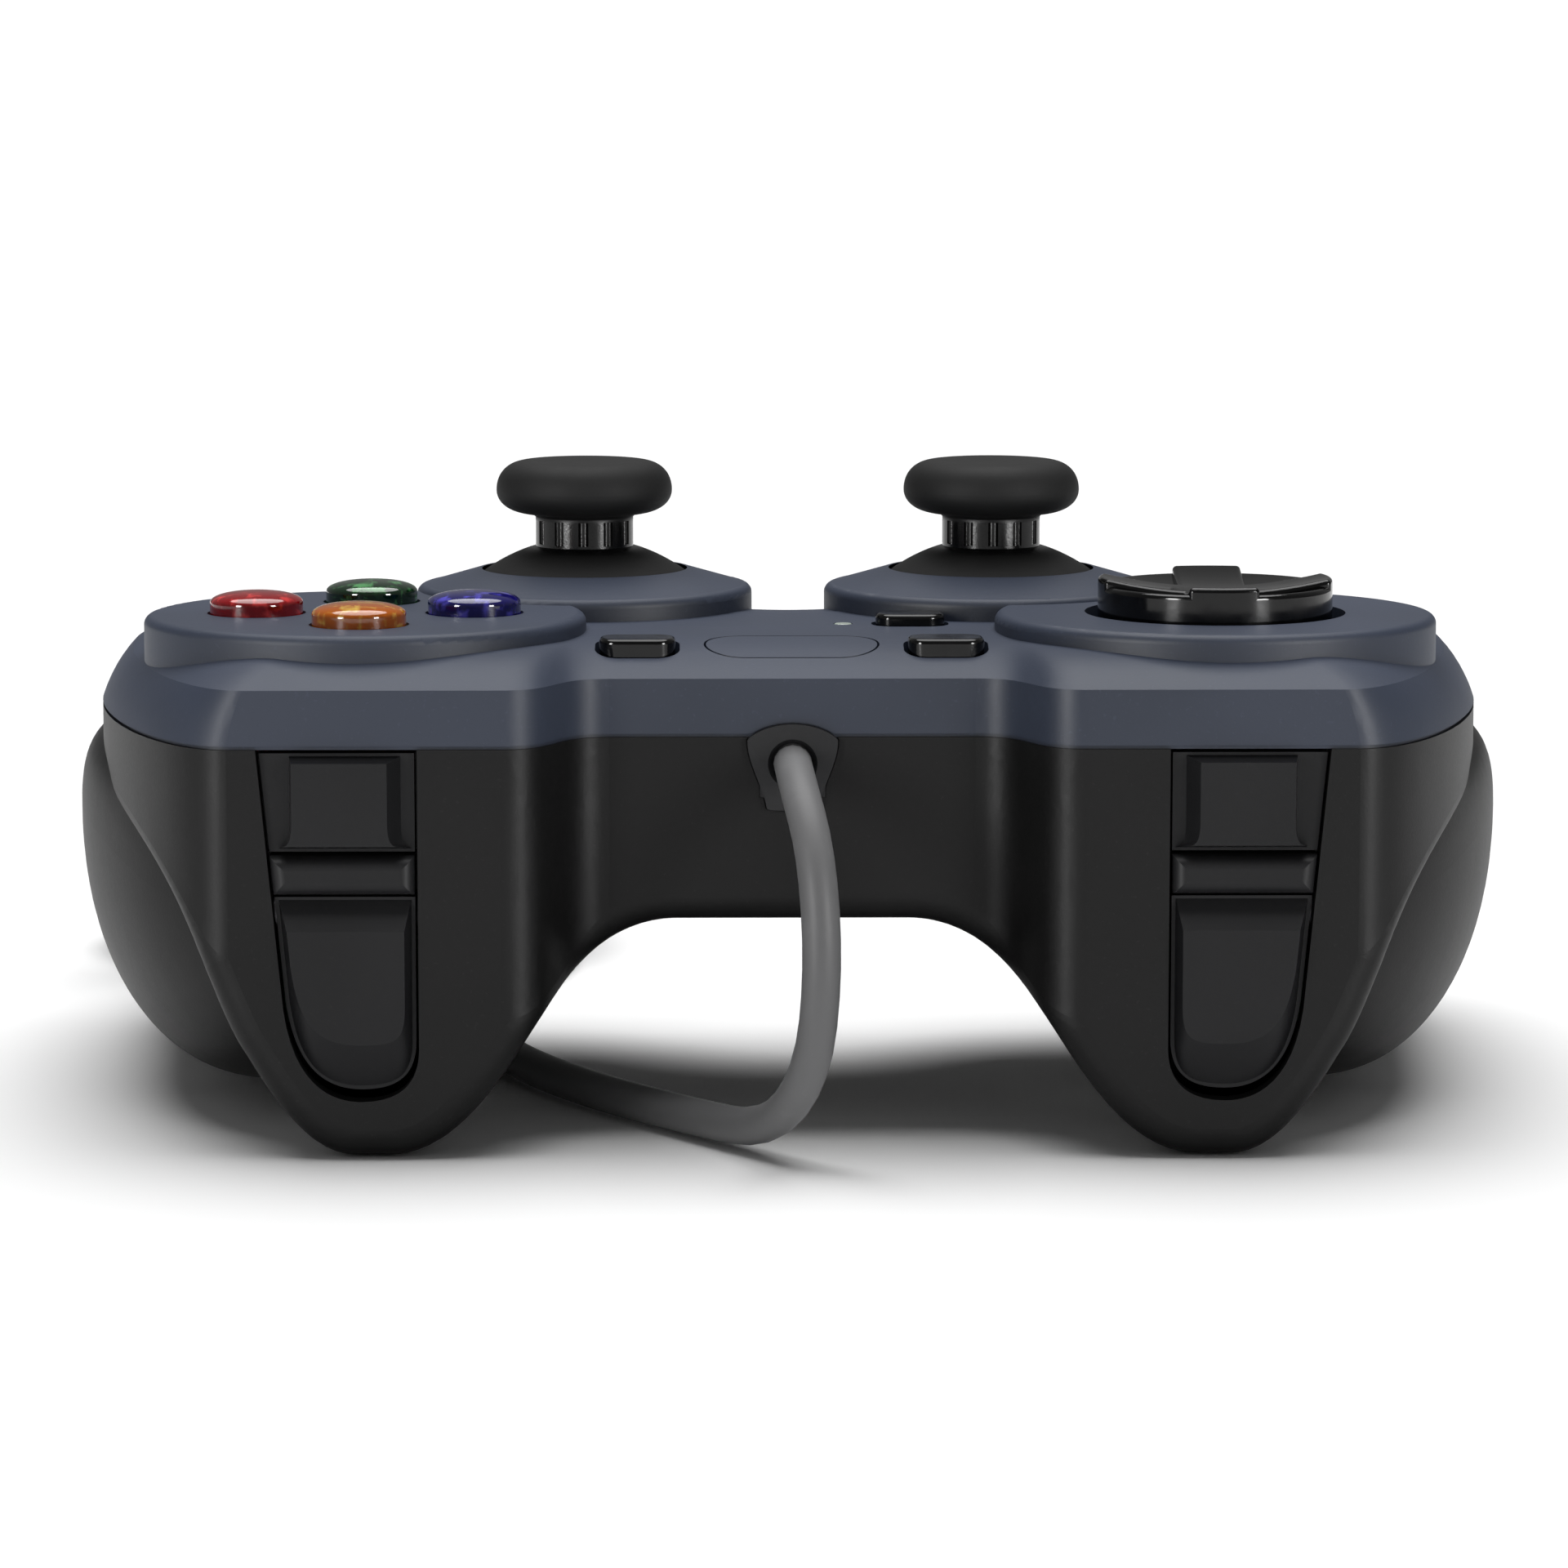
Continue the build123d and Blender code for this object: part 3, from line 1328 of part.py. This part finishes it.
def cable_coil():
    """Spare length of the cable, wound into a coil of piled turns."""
    edges = coil_path()
    path = Wire(edges)
    samples = []
    along = 0
    for edge in edges:
        count = max(4, int(edge.length / cable_radius))
        for index in range(count):
            samples.append((along + edge.length * index / count, edge @ (index / count)))
        along += edge.length
    least = min((a[1] - b[1]).length for a in samples for b in samples
                if b[0] - a[0] > 6 * cable_radius)
    print("coil ends", edges[-1] @ 1, edges[-1] % 1, "least gap", round(least - 2 * cable_radius, 2))
    return tube(path, cable_radius, "cable_coil")


def cable_lead():
    """Free stretch of the cable from the grommet to the coil."""
    return tube(round_path(lead_points, "cable_lead"), cable_radius, "cable_lead")


def cable_tail():
    """Last stretch of the cable, over the coil to the plug."""
    return tube(round_path(tail_points, "cable_tail"), cable_radius, "cable_tail")


def at_plug(piece):
    """Place a piece of the plug, modelled along +X, at the end of the tail."""
    end = Vector(*tail_points[-1])
    heading = end - Vector(*tail_points[-2])
    return Plane(origin=end, x_dir=heading, z_dir=(0, 0, 1)) * piece


def plug_body():
    """Moulded body of the plug."""
    body = span(0, plug_body_length, -plug_body_width / 2, plug_body_width / 2, -plug_body_height / 2,
                plug_body_height / 2)
    return fillet(body.edges().filter_by(Axis.X), plug_body_round)


def plug_shell():
    """Metal shell of the plug."""
    half_width_here = plug_shell_width / 2
    half_height = plug_shell_height / 2
    end = plug_body_length + plug_shell_length
    shell = span(plug_body_length, end, -half_width_here, half_width_here, -half_height, half_height)
    inner_width = half_width_here - plug_shell_wall
    inner_height = half_height - plug_shell_wall
    return shell - span(plug_body_length, end, -inner_width, inner_width, -inner_height, inner_height)


def plug_tongue():
    """Plastic tongue inside the plug's shell."""
    half_width_here = plug_shell_width / 2 - plug_shell_wall
    top = plug_shell_height / 2 - plug_shell_wall
    return span(plug_body_length, plug_body_length + plug_tongue_length, -half_width_here, half_width_here,
                top - plug_tongue_height, top)


def all_pieces():
    """Every node of the controller by name."""
    pieces = {
        "top_shell": top_shell(),
        "bottom_shell": bottom_shell(),
        "badge_plate": badge_plate(),
        "status_light": status_light(),
        "main_board": main_board(),
        "button_board": button_board(),
        "board_ribbon": board_ribbon(),
        "controller_chip": controller_chip(),
        "cable_connector": cable_connector(),
        "face_button_membrane": face_button_membrane(),
        "dpad_membrane": dpad_membrane(),
        "centre_button_membrane": centre_button_membrane(),
        "case_screws": case_screws(),
        "board_screws": board_screws(),
        "dpad": dpad(),
        "dpad_pivot": dpad_pivot(),
        "dpad_post": dpad_post(),
        "cable_grommet": cable_grommet(),
        "cable_inner": cable_inner(),
        "cable_lead": cable_lead(),
        "cable_coil": cable_coil(),
        "cable_tail": cable_tail(),
        "trigger_pins": both(trigger_pin()),
        "trigger_springs": both(trigger_spring()),
        "plug_body": at_plug(plug_body()),
        "plug_shell": at_plug(plug_shell()),
        "plug_tongue": at_plug(plug_tongue()),
    }
    for name, x, y in face_button_places():
        pieces[name] = face_button(x, y)
    for name, x, y, width, depth, rise in small_button_places:
        pieces[name] = small_button(x, y, width, depth, rise)
    shoulder = {
        "bumper": bumper(),
        "trigger": trigger(),
        "shoulder_bezel": shoulder_bezel(),
        "shoulder_board": shoulder_board(),
        "shoulder_switches": shoulder_switches(),
    }
    for name, piece in shoulder.items():
        pieces["left_" + name] = piece
        pieces["right_" + name] = piece.mirror(Plane.YZ)
    module = {
        "stick_frame": stick_frame(),
        "stick_potentiometers": stick_potentiometers(),
        "stick_click_switch": stick_click_switch(),
        "lower_yoke": lower_yoke(),
        "upper_yoke": upper_yoke(),
        "stick_pivot": stick_pivot(),
        "stick_shaft": stick_shaft(),
        "stick_cap": stick_cap(),
    }
    for name, piece in module.items():
        pieces["left_" + name] = at_stick(piece, 1)
        pieces["right_" + name] = at_stick(piece, -1)
    return pieces


os.makedirs("parts", exist_ok=True)
for node, piece in all_pieces().items():
    export_step(piece, "parts/" + node + ".step")
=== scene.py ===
import json
import math

import bmesh
import bpy
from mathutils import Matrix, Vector


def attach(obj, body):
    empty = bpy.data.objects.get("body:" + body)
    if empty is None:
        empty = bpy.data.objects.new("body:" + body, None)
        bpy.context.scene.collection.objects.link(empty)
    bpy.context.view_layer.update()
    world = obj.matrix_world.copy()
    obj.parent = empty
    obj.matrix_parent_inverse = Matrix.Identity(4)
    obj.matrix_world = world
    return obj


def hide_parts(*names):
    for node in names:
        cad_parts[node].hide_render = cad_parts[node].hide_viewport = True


# Gamepad controller on a white table. Metres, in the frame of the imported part: +Z up, the cable towards -Y.
mm = 0.001

# Camera, standing in front of the cable side
camera_place = (-7.6 * mm, -650 * mm, 121 * mm)
camera_pitch = math.radians(7.79)
camera_turn = math.radians(0.63)
camera_lens = 135.9
camera_sensor = 36.0
camera_near = 0.01
camera_far = 100.0

# Cable, its route in millimetres
cable_diameter = 4.0 * mm
cable_roundness = 6
cable_smoothness = 4
lead_route = (
    (0.0, -40.8, 39.8), (0.3, -50.0, 39.2), (2.2, -59.0, 33.0), (2.9, -61.5, 21.5), (1.8, -58.0, 10.0),
    (-2.6, -50.0, 2.6), (-11.0, -38.0, 2.1), (-20.5, -25.0, 2.1), (-29.0, -9.0, 2.1), (-34.0, 8.0, 2.1),
    (-35.2, 26.0, 2.1), (-32.6, 45.0, 2.1), (-28.4, 62.5, 2.1), (-26.6, 75.0, 2.1),
)
coil_centre_x = -54.5
coil_centre_y = 88.0
coil_outer = 27.9
coil_pitch = 5.3
coil_rise = 5.0
coil_base = 2.1
coil_turns = 3
coil_layers = 4
coil_steps = 12
tail_route = (
    (-29.25, 99.0, 17.1), (-32.5, 108.5, 20.2), (-42.5, 115.5, 22.9), (-54.0, 115.0, 23.4),
    (-62.5, 108.0, 23.4), (-64.5, 98.5, 23.4),
)

# Collars that close the deck's slope round the ball of each thumb stick, in millimetres and degrees
stick_x = 22.5
stick_y = 3.0
stick_pivot = 40.3
collar_inner = 19.5
collar_outer = 20.6
collar_low = 42.95
collar_high = 49.6
collar_start = -52
collar_end = 104
collar_turns = 80
collar_rows = 12
collar_crease = math.radians(40)

# Table and light
table_near = -2.0
table_far = 60.0
table_half_width = 12.0
table_drop = 0.2 * mm
surroundings_strength = 0.18
sun_tilt = math.radians(-12)
sun_spread = math.radians(60)
sun_strength = 3.3
box_side = 0.56
box_front = -0.60
box_height = 0.10
box_aim = (0, 0, 0.03)
box_size = (0.17, 0.6)
box_power = 9.0

# Heights between which a thumb stick's stem is polished
stem_low = 57.5 * mm
stem_high = 62 * mm
stem_fade = 1 * mm

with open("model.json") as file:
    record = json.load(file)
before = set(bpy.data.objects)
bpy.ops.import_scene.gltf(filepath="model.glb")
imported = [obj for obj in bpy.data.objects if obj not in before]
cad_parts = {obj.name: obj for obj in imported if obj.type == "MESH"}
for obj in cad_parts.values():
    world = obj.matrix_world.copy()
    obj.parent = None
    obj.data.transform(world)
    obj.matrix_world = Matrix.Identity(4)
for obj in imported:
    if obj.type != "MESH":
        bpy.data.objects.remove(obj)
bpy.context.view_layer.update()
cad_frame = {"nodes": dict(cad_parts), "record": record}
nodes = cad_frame["nodes"]


def add_object(name, data):
    """Put an object of this data in the scene."""
    made = bpy.data.objects.new(name, data)
    bpy.context.scene.collection.objects.link(made)
    return made


def look_camera():
    """Camera of the photograph."""
    data = bpy.data.cameras.new("camera")
    data.lens = camera_lens
    data.sensor_width = camera_sensor
    data.clip_start = camera_near
    data.clip_end = camera_far
    camera = add_object("camera", data)
    camera.location = camera_place
    camera.rotation_euler = (math.pi / 2 - camera_pitch, 0, -camera_turn)
    bpy.context.scene.camera = camera


def coil_points():
    """Points round the turns of the coil, climbing a layer in the half turn where the spiral reverses."""
    points = []
    radius = coil_outer
    level = coil_base
    heading = 1
    x = coil_centre_x + radius
    step = coil_pitch / 2
    for layer in range(coil_layers):
        inward = layer % 2 == 0
        last = layer == coil_layers - 1
        change = -step if inward else step
        for _ in range(2 * coil_turns - (1 if last else 0)):
            add_half_turn(points, x, radius + change / 2, heading, level, 0)
            x -= heading * (2 * radius + change)
            radius += change
            heading = -heading
        if not last:
            add_half_turn(points, x, radius, heading, level, coil_rise)
            x -= heading * 2 * radius
            level += coil_rise
            heading = -heading
    points.append((x, coil_centre_y, level))
    return points


def add_half_turn(points, start_x, radius, heading, level, rise):
    """Points of a half circle that starts at start_x, without its end."""
    centre_x = start_x - heading * radius
    reach = radius / math.cos(math.pi / (2 * coil_steps))
    for index in range(coil_steps):
        along = (index + 0.5) / coil_steps
        angle = math.pi * along
        points.append((centre_x + heading * reach * math.cos(angle),
                       coil_centre_y + heading * reach * math.sin(angle),
                       level + rise * (along - math.sin(2 * math.pi * along) / (2 * math.pi))))


def curve_length(curve):
    """Length of the curve's centreline, measured on a copy without thickness."""
    copy = add_object("centreline", curve.data.copy())
    copy.data.bevel_depth = 0
    depsgraph = bpy.context.evaluated_depsgraph_get()
    mesh = copy.evaluated_get(depsgraph).to_mesh()
    places = [vertex.co.copy() for vertex in mesh.vertices]
    total = sum((after - before).length for before, after in zip(places, places[1:]))
    bpy.data.objects.remove(copy)
    return total


def make_cable():
    """Cable from the grommet over the table to its coil and plug, as one smooth curve."""
    route = list(lead_route) + coil_points() + list(tail_route)
    data = bpy.data.curves.new("cable", "CURVE")
    data.dimensions = "3D"
    data.bevel_depth = cable_diameter / 2
    data.bevel_resolution = cable_roundness
    data.resolution_u = cable_smoothness
    data.use_fill_caps = True
    spline = data.splines.new("NURBS")
    spline.points.add(len(route) - 1)
    for point, place in zip(spline.points, route):
        point.co = (*(Vector(place) * mm), 1)
    spline.order_u = 3
    spline.use_endpoint_u = True
    cable = add_object("cable", data)
    cable.data.materials.append(materials["cable"])
    length = curve_length(cable)
    print("cable length", round(length, 4))
    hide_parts("cable_lead", "cable_coil", "cable_tail")
    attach(cable, "body")


def collar_ring(form, side, angle):
    """Closed outline of a collar at one angle: up its outer face and down its inner face."""
    rows = range(collar_rows + 1)
    faces = ((collar_outer, rows), (collar_inner, reversed(rows)))
    ring = []
    for radius, heights in faces:
        for row in heights:
            height = collar_low + (collar_high - collar_low) * row / collar_rows
            reach = math.sqrt(radius ** 2 - (height - stick_pivot) ** 2)
            x = side * (stick_x - reach * math.sin(angle))
            y = stick_y + reach * math.cos(angle)
            ring.append(form.verts.new(Vector((x, y, height)) * mm))
    return ring


def make_collar(side, name):
    """Part of a ball's shell under the raised ring, from the back round to the middle of the controller."""
    form = bmesh.new()
    sweep = collar_end - collar_start
    angles = [math.radians(collar_start + sweep * index / collar_turns) for index in range(collar_turns + 1)]
    rings = [collar_ring(form, side, angle) for angle in angles]
    for first, second in zip(rings, rings[1:]):
        for index in range(len(first)):
            after = (index + 1) % len(first)
            form.faces.new((first[index], first[after], second[after], second[index]))
    form.faces.new(rings[0])
    form.faces.new(reversed(rings[-1]))
    bmesh.ops.recalc_face_normals(form, faces=form.faces)
    mesh = bpy.data.meshes.new(name)
    form.to_mesh(mesh)
    form.free()
    mesh.shade_smooth()
    mesh.materials.append(materials["blue_shell"])
    collar = add_object(name, mesh)
    split = collar.modifiers.new("edges", "EDGE_SPLIT")
    split.split_angle = collar_crease
    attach(collar, "body")


# Shader maths


class Signal:
    """A socket that can be added, multiplied and taken from a number."""

    def __init__(self, graph, socket):
        self.graph = graph
        self.socket = socket

    def math(self, operation, first, second):
        """Math node on two signals or numbers."""
        return self.graph.node("ShaderNodeMath", {"operation": operation}, {0: first, 1: second})

    def __add__(self, other):
        return self.math("ADD", self, other)

    __radd__ = __add__

    def __rsub__(self, other):
        return self.math("SUBTRACT", other, self)

    def __mul__(self, other):
        return self.math("MULTIPLY", self, other)

    __rmul__ = __mul__

    def step(self, low, high):
        """Smooth rise from 0 at low to 1 at high."""
        return self.graph.node("ShaderNodeMapRange", {"interpolation_type": "SMOOTHSTEP"},
                               {0: self, 1: low, 2: high})


class Graph:
    """Node graph of one material, with a short way to make each node."""

    def __init__(self, name):
        self.material = bpy.data.materials.new(name)
        self.material.use_nodes = True
        self.tree = self.material.node_tree
        self.shader = self.tree.nodes["Principled BSDF"]
        self.place = self.node("ShaderNodeTexCoord", output="Object")

    def node(self, kind, settings=None, inputs=None, output=0):
        """Make a node from its type, settings and inputs, and give one of its outputs."""
        made = self.tree.nodes.new(kind)
        for key, value in (settings or {}).items():
            setattr(made, key, value)
        for key, value in (inputs or {}).items():
            self.feed(made.inputs[key], value)
        return Signal(self, made.outputs[output])

    def feed(self, socket, value):
        """Link a signal to a socket, or set the socket's value."""
        if isinstance(value, Signal):
            self.tree.links.new(value.socket, socket)
        else:
            socket.default_value = value

    def noise(self, size, detail=3.0, rough=0.5):
        """Noise whose spots are about one size, in metres."""
        return self.node("ShaderNodeTexNoise", {},
                         {"Vector": self.place, "Scale": 1 / size, "Detail": detail, "Roughness": rough})

    def cells(self, size, distance="EUCLIDEAN"):
        """Distance from the centres of cells of about one size, in metres."""
        return self.node("ShaderNodeTexVoronoi", {"distance": distance},
                         {"Vector": self.place, "Scale": 1 / size})

    def mix(self, share, low, high):
        """Colour between two colours."""
        return self.node("ShaderNodeMix", {"data_type": "RGBA"}, {0: share, 6: low, 7: high}, output=2)

    def bump(self, height, depth, strength):
        """Normal from a height."""
        return self.node("ShaderNodeBump", {}, {"Height": height, "Distance": depth, "Strength": strength})

    def set(self, **values):
        """Feed the shader's sockets by name, with _ for a space."""
        for key, value in values.items():
            self.feed(self.shader.inputs[key.replace("_", " ")], value)
        return self.material


def rgb(red, green, blue):
    """Linear colour from the 0 to 255 values of a screen."""
    def linear(value):
        share = value / 255
        return share / 12.92 if share <= 0.04045 else ((share + 0.055) / 1.055) ** 2.4
    return (linear(red), linear(green), linear(blue), 1)


def grey(level):
    """Linear grey."""
    return (level, level, level, 1)


def blue_plastic():
    """Slate blue satin plastic with a fine moulded grain."""
    graph = Graph("blue plastic")
    grain = graph.cells(0.35 * mm)
    cloud = graph.noise(30 * mm, detail=2)
    speck = graph.noise(0.5 * mm, detail=2)
    colour = graph.mix(cloud.step(0.35, 0.65), rgb(48, 56, 73), rgb(53, 61, 79))
    colour = graph.mix(speck.step(0.62, 0.75) * 0.15, colour, rgb(84, 92, 114))
    roughness = 0.44 + 0.10 * cloud + 0.05 * speck
    return graph.set(Base_Color=colour, Roughness=roughness, Specular_IOR_Level=0.35,
                     Normal=graph.bump(grain, depth=0.012 * mm, strength=0.35))


def black_plastic(name, low, high, rough):
    """Black satin plastic with a fine sparkling grain."""
    graph = Graph(name)
    grain = graph.cells(0.3 * mm)
    cloud = graph.noise(25 * mm, detail=2)
    speck = graph.noise(0.45 * mm, detail=2)
    colour = graph.mix(cloud.step(0.35, 0.65), rgb(*low), rgb(*high))
    colour = graph.mix(speck.step(0.63, 0.75) * 0.2, colour, rgb(42, 40, 41))
    roughness = rough + 0.08 * cloud + 0.06 * speck
    return graph.set(Base_Color=colour, Roughness=roughness, Specular_IOR_Level=0.22,
                     Normal=graph.bump(grain, depth=0.012 * mm, strength=0.35))


def rubber(name, colour, rough, polished_stem=False):
    """Matt rubber with a fine skin and a little dust, polished on the thumb sticks' stems if asked."""
    graph = Graph(name)
    skin = graph.noise(0.25 * mm, detail=4)
    dust = graph.noise(4 * mm, detail=5, rough=0.65)
    dusty = [value + 12 for value in colour]
    shade = graph.mix(dust.step(0.5, 0.8) * 0.5, rgb(*colour), rgb(*dusty))
    roughness = rough + 0.15 * dust
    if polished_stem:
        height = graph.node("ShaderNodeSeparateXYZ", {}, {0: graph.place}, output=2)
        above = height.step(stem_low, stem_low + stem_fade)
        below = 1 - height.step(stem_high - stem_fade, stem_high)
        roughness = roughness * (1 - 0.75 * (above * below))
    return graph.set(Base_Color=shade, Roughness=roughness, Specular_IOR_Level=0.25,
                     Normal=graph.bump(skin, depth=0.02 * mm, strength=0.5))


def gloss_black():
    """Polished black plastic with faint finger marks."""
    graph = Graph("gloss black")
    marks = graph.noise(5 * mm, detail=4, rough=0.6)
    speck = graph.noise(0.4 * mm, detail=2)
    colour = graph.mix(marks, rgb(5, 5, 5), rgb(8, 8, 9))
    return graph.set(Base_Color=colour, Roughness=0.1 + 0.16 * marks.step(0.4, 0.8), Specular_IOR_Level=0.35,
                     Normal=graph.bump(speck, depth=0.004 * mm, strength=0.3))


def jelly(name, deep, painted_highlight):
    """Clear coloured button, dark in its deep colour, with a painted highlight where each inner facet would
    catch the light.
    """
    graph = Graph(name)
    facet_highlights = graph.cells(1.5 * mm, distance="CHEBYCHEV")
    streak = graph.noise(0.9 * mm)
    # Painted highlight: the lighter colour laid on in a pattern of facet cells and streaks
    shade = graph.mix((facet_highlights + 0.6 * streak).step(0.72, 1.1), rgb(*deep), rgb(*painted_highlight))
    return graph.set(Base_Color=shade, Roughness=0.05 + 0.05 * streak, Transmission_Weight=0.25,
                     Coat_Weight=0.5, Coat_Roughness=0.03, IOR=1.45)


def plain(name, low, high, rough, metal=0.0):
    """Moulded or metal surface with a light mottle."""
    graph = Graph(name)
    mottle = graph.noise(1 * mm, detail=4, rough=0.6)
    fine = graph.noise(0.2 * mm, detail=2)
    shade = graph.mix(mottle, rgb(*low), rgb(*high))
    return graph.set(Base_Color=shade, Roughness=rough + 0.12 * mottle, Metallic=metal,
                     Normal=graph.bump(fine, depth=0.01 * mm, strength=0.4))


def table_white():
    """White table with hardly any gloss."""
    graph = Graph("table")
    cloud = graph.noise(0.4)
    white = graph.mix(cloud, grey(0.91), grey(0.93))
    return graph.set(Base_Color=white, Roughness=0.7 + 0.1 * cloud, Specular_IOR_Level=0.1)


# Materials by slot, and one more for the shoulder pieces. Their colours are screen values from 0 to 255.
materials = {
    "blue_shell": blue_plastic(),
    "black_shell": black_plastic("black plastic", (5, 5, 5), (8, 7, 8), rough=0.40),
    "black_button": gloss_black(),
    # The shoulder pieces' lighter grey is partly their own dark grey and partly painted highlight, standing
    # in for the light along the triggers' tops
    "shoulder": black_plastic("shoulder plastic", (25, 25, 27), (30, 30, 32), rough=0.34),
    "grey_button": gloss_black(),
    "badge": blue_plastic(),
    "rubber": rubber("rubber", (14, 14, 14), rough=0.6, polished_stem=True),
    # Each jelly's second colour is its painted highlight
    "red_button": jelly("red jelly", (165, 0, 14), (255, 70, 70)),
    "green_button": jelly("green jelly", (8, 48, 20), (100, 180, 110)),
    "amber_button": jelly("amber jelly", (205, 104, 0), (255, 210, 90)),
    "blue_button": jelly("blue jelly", (18, 10, 108), (96, 88, 230)),
    "light_pipe": plain("light pipe", (150, 160, 150), (190, 200, 190), rough=0.2),
    "circuit_board": plain("circuit board", (12, 60, 30), (20, 84, 44), rough=0.4),
    "chip": plain("chip", (20, 20, 20), (30, 30, 30), rough=0.5),
    "ribbon": plain("ribbon", (180, 180, 176), (200, 200, 196), rough=0.45),
    "dome_sheet": rubber("dome sheet", (120, 120, 124), rough=0.6),
    "inner_plastic": plain("inner plastic", (170, 170, 165), (190, 190, 184), rough=0.45),
    "dark_plastic": black_plastic("dark plastic", (17, 17, 19), (22, 22, 24), rough=0.4),
    "steel": plain("steel", (150, 150, 154), (190, 190, 194), rough=0.25, metal=1.0),
    "cable": rubber("cable rubber", (114, 114, 115), rough=0.42),
    "grommet": rubber("grommet rubber", (38, 38, 40), rough=0.5),
    "plug_body": black_plastic("plug plastic", (30, 30, 32), (38, 38, 40), rough=0.4),
    "plug_shell": plain("plug shell", (190, 190, 194), (215, 215, 218), rough=0.18, metal=1.0),
    "plug_tongue": plain("plug tongue", (205, 205, 200), (222, 222, 218), rough=0.45),
}


def dress_nodes():
    """Give every CAD node its material."""
    wanted = {row["node"]: row["material_slot"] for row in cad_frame["record"]["subparts"]}
    for name, obj in nodes.items():
        # Shoulder pieces take the lighter grey, which is partly painted highlight
        slot = "shoulder" if name.endswith(("bumper", "trigger", "bezel")) else wanted[name]
        obj.data.materials.clear()
        obj.data.materials.append(materials[slot])


def make_table():
    """White table that runs to the horizon."""
    mesh = bpy.data.meshes.new("floor")
    corners = [(-table_half_width, table_near, 0), (table_half_width, table_near, 0),
               (table_half_width, table_far, 0), (-table_half_width, table_far, 0)]
    mesh.from_pydata(corners, [], [(0, 1, 2, 3)])
    mesh.materials.append(table_white())
    floor = add_object("floor", mesh)
    floor.location.z = -table_drop


def make_light():
    """Dim surroundings, even light from above, and a tall box at each front corner for highlights alone."""
    world = bpy.data.worlds.new("surroundings")
    world.use_nodes = True
    bpy.context.scene.world = world
    background = world.node_tree.nodes["Background"]
    background.inputs["Color"].default_value = grey(1)
    background.inputs["Strength"].default_value = surroundings_strength
    sun = bpy.data.lights.new("light from above", "SUN")
    sun.energy = sun_strength
    sun.angle = sun_spread
    add_object("light from above", sun).rotation_euler = (sun_tilt, 0, 0)
    for side in (-1, 1):
        data = bpy.data.lights.new("front box", "AREA")
        data.shape = "RECTANGLE"
        data.size, data.size_y = box_size
        data.energy = box_power
        box = add_object("front box", data)
        box.location = (side * box_side, box_front, box_height)
        box.rotation_euler = (Vector(box_aim) - box.location).to_track_quat("-Z", "Y").to_euler()
        box.visible_diffuse = False
    bpy.context.scene.view_settings.view_transform = "Standard"


look_camera()
make_cable()
make_collar(1, "left_stick_collar")
make_collar(-1, "right_stick_collar")
dress_nodes()
make_table()
make_light()
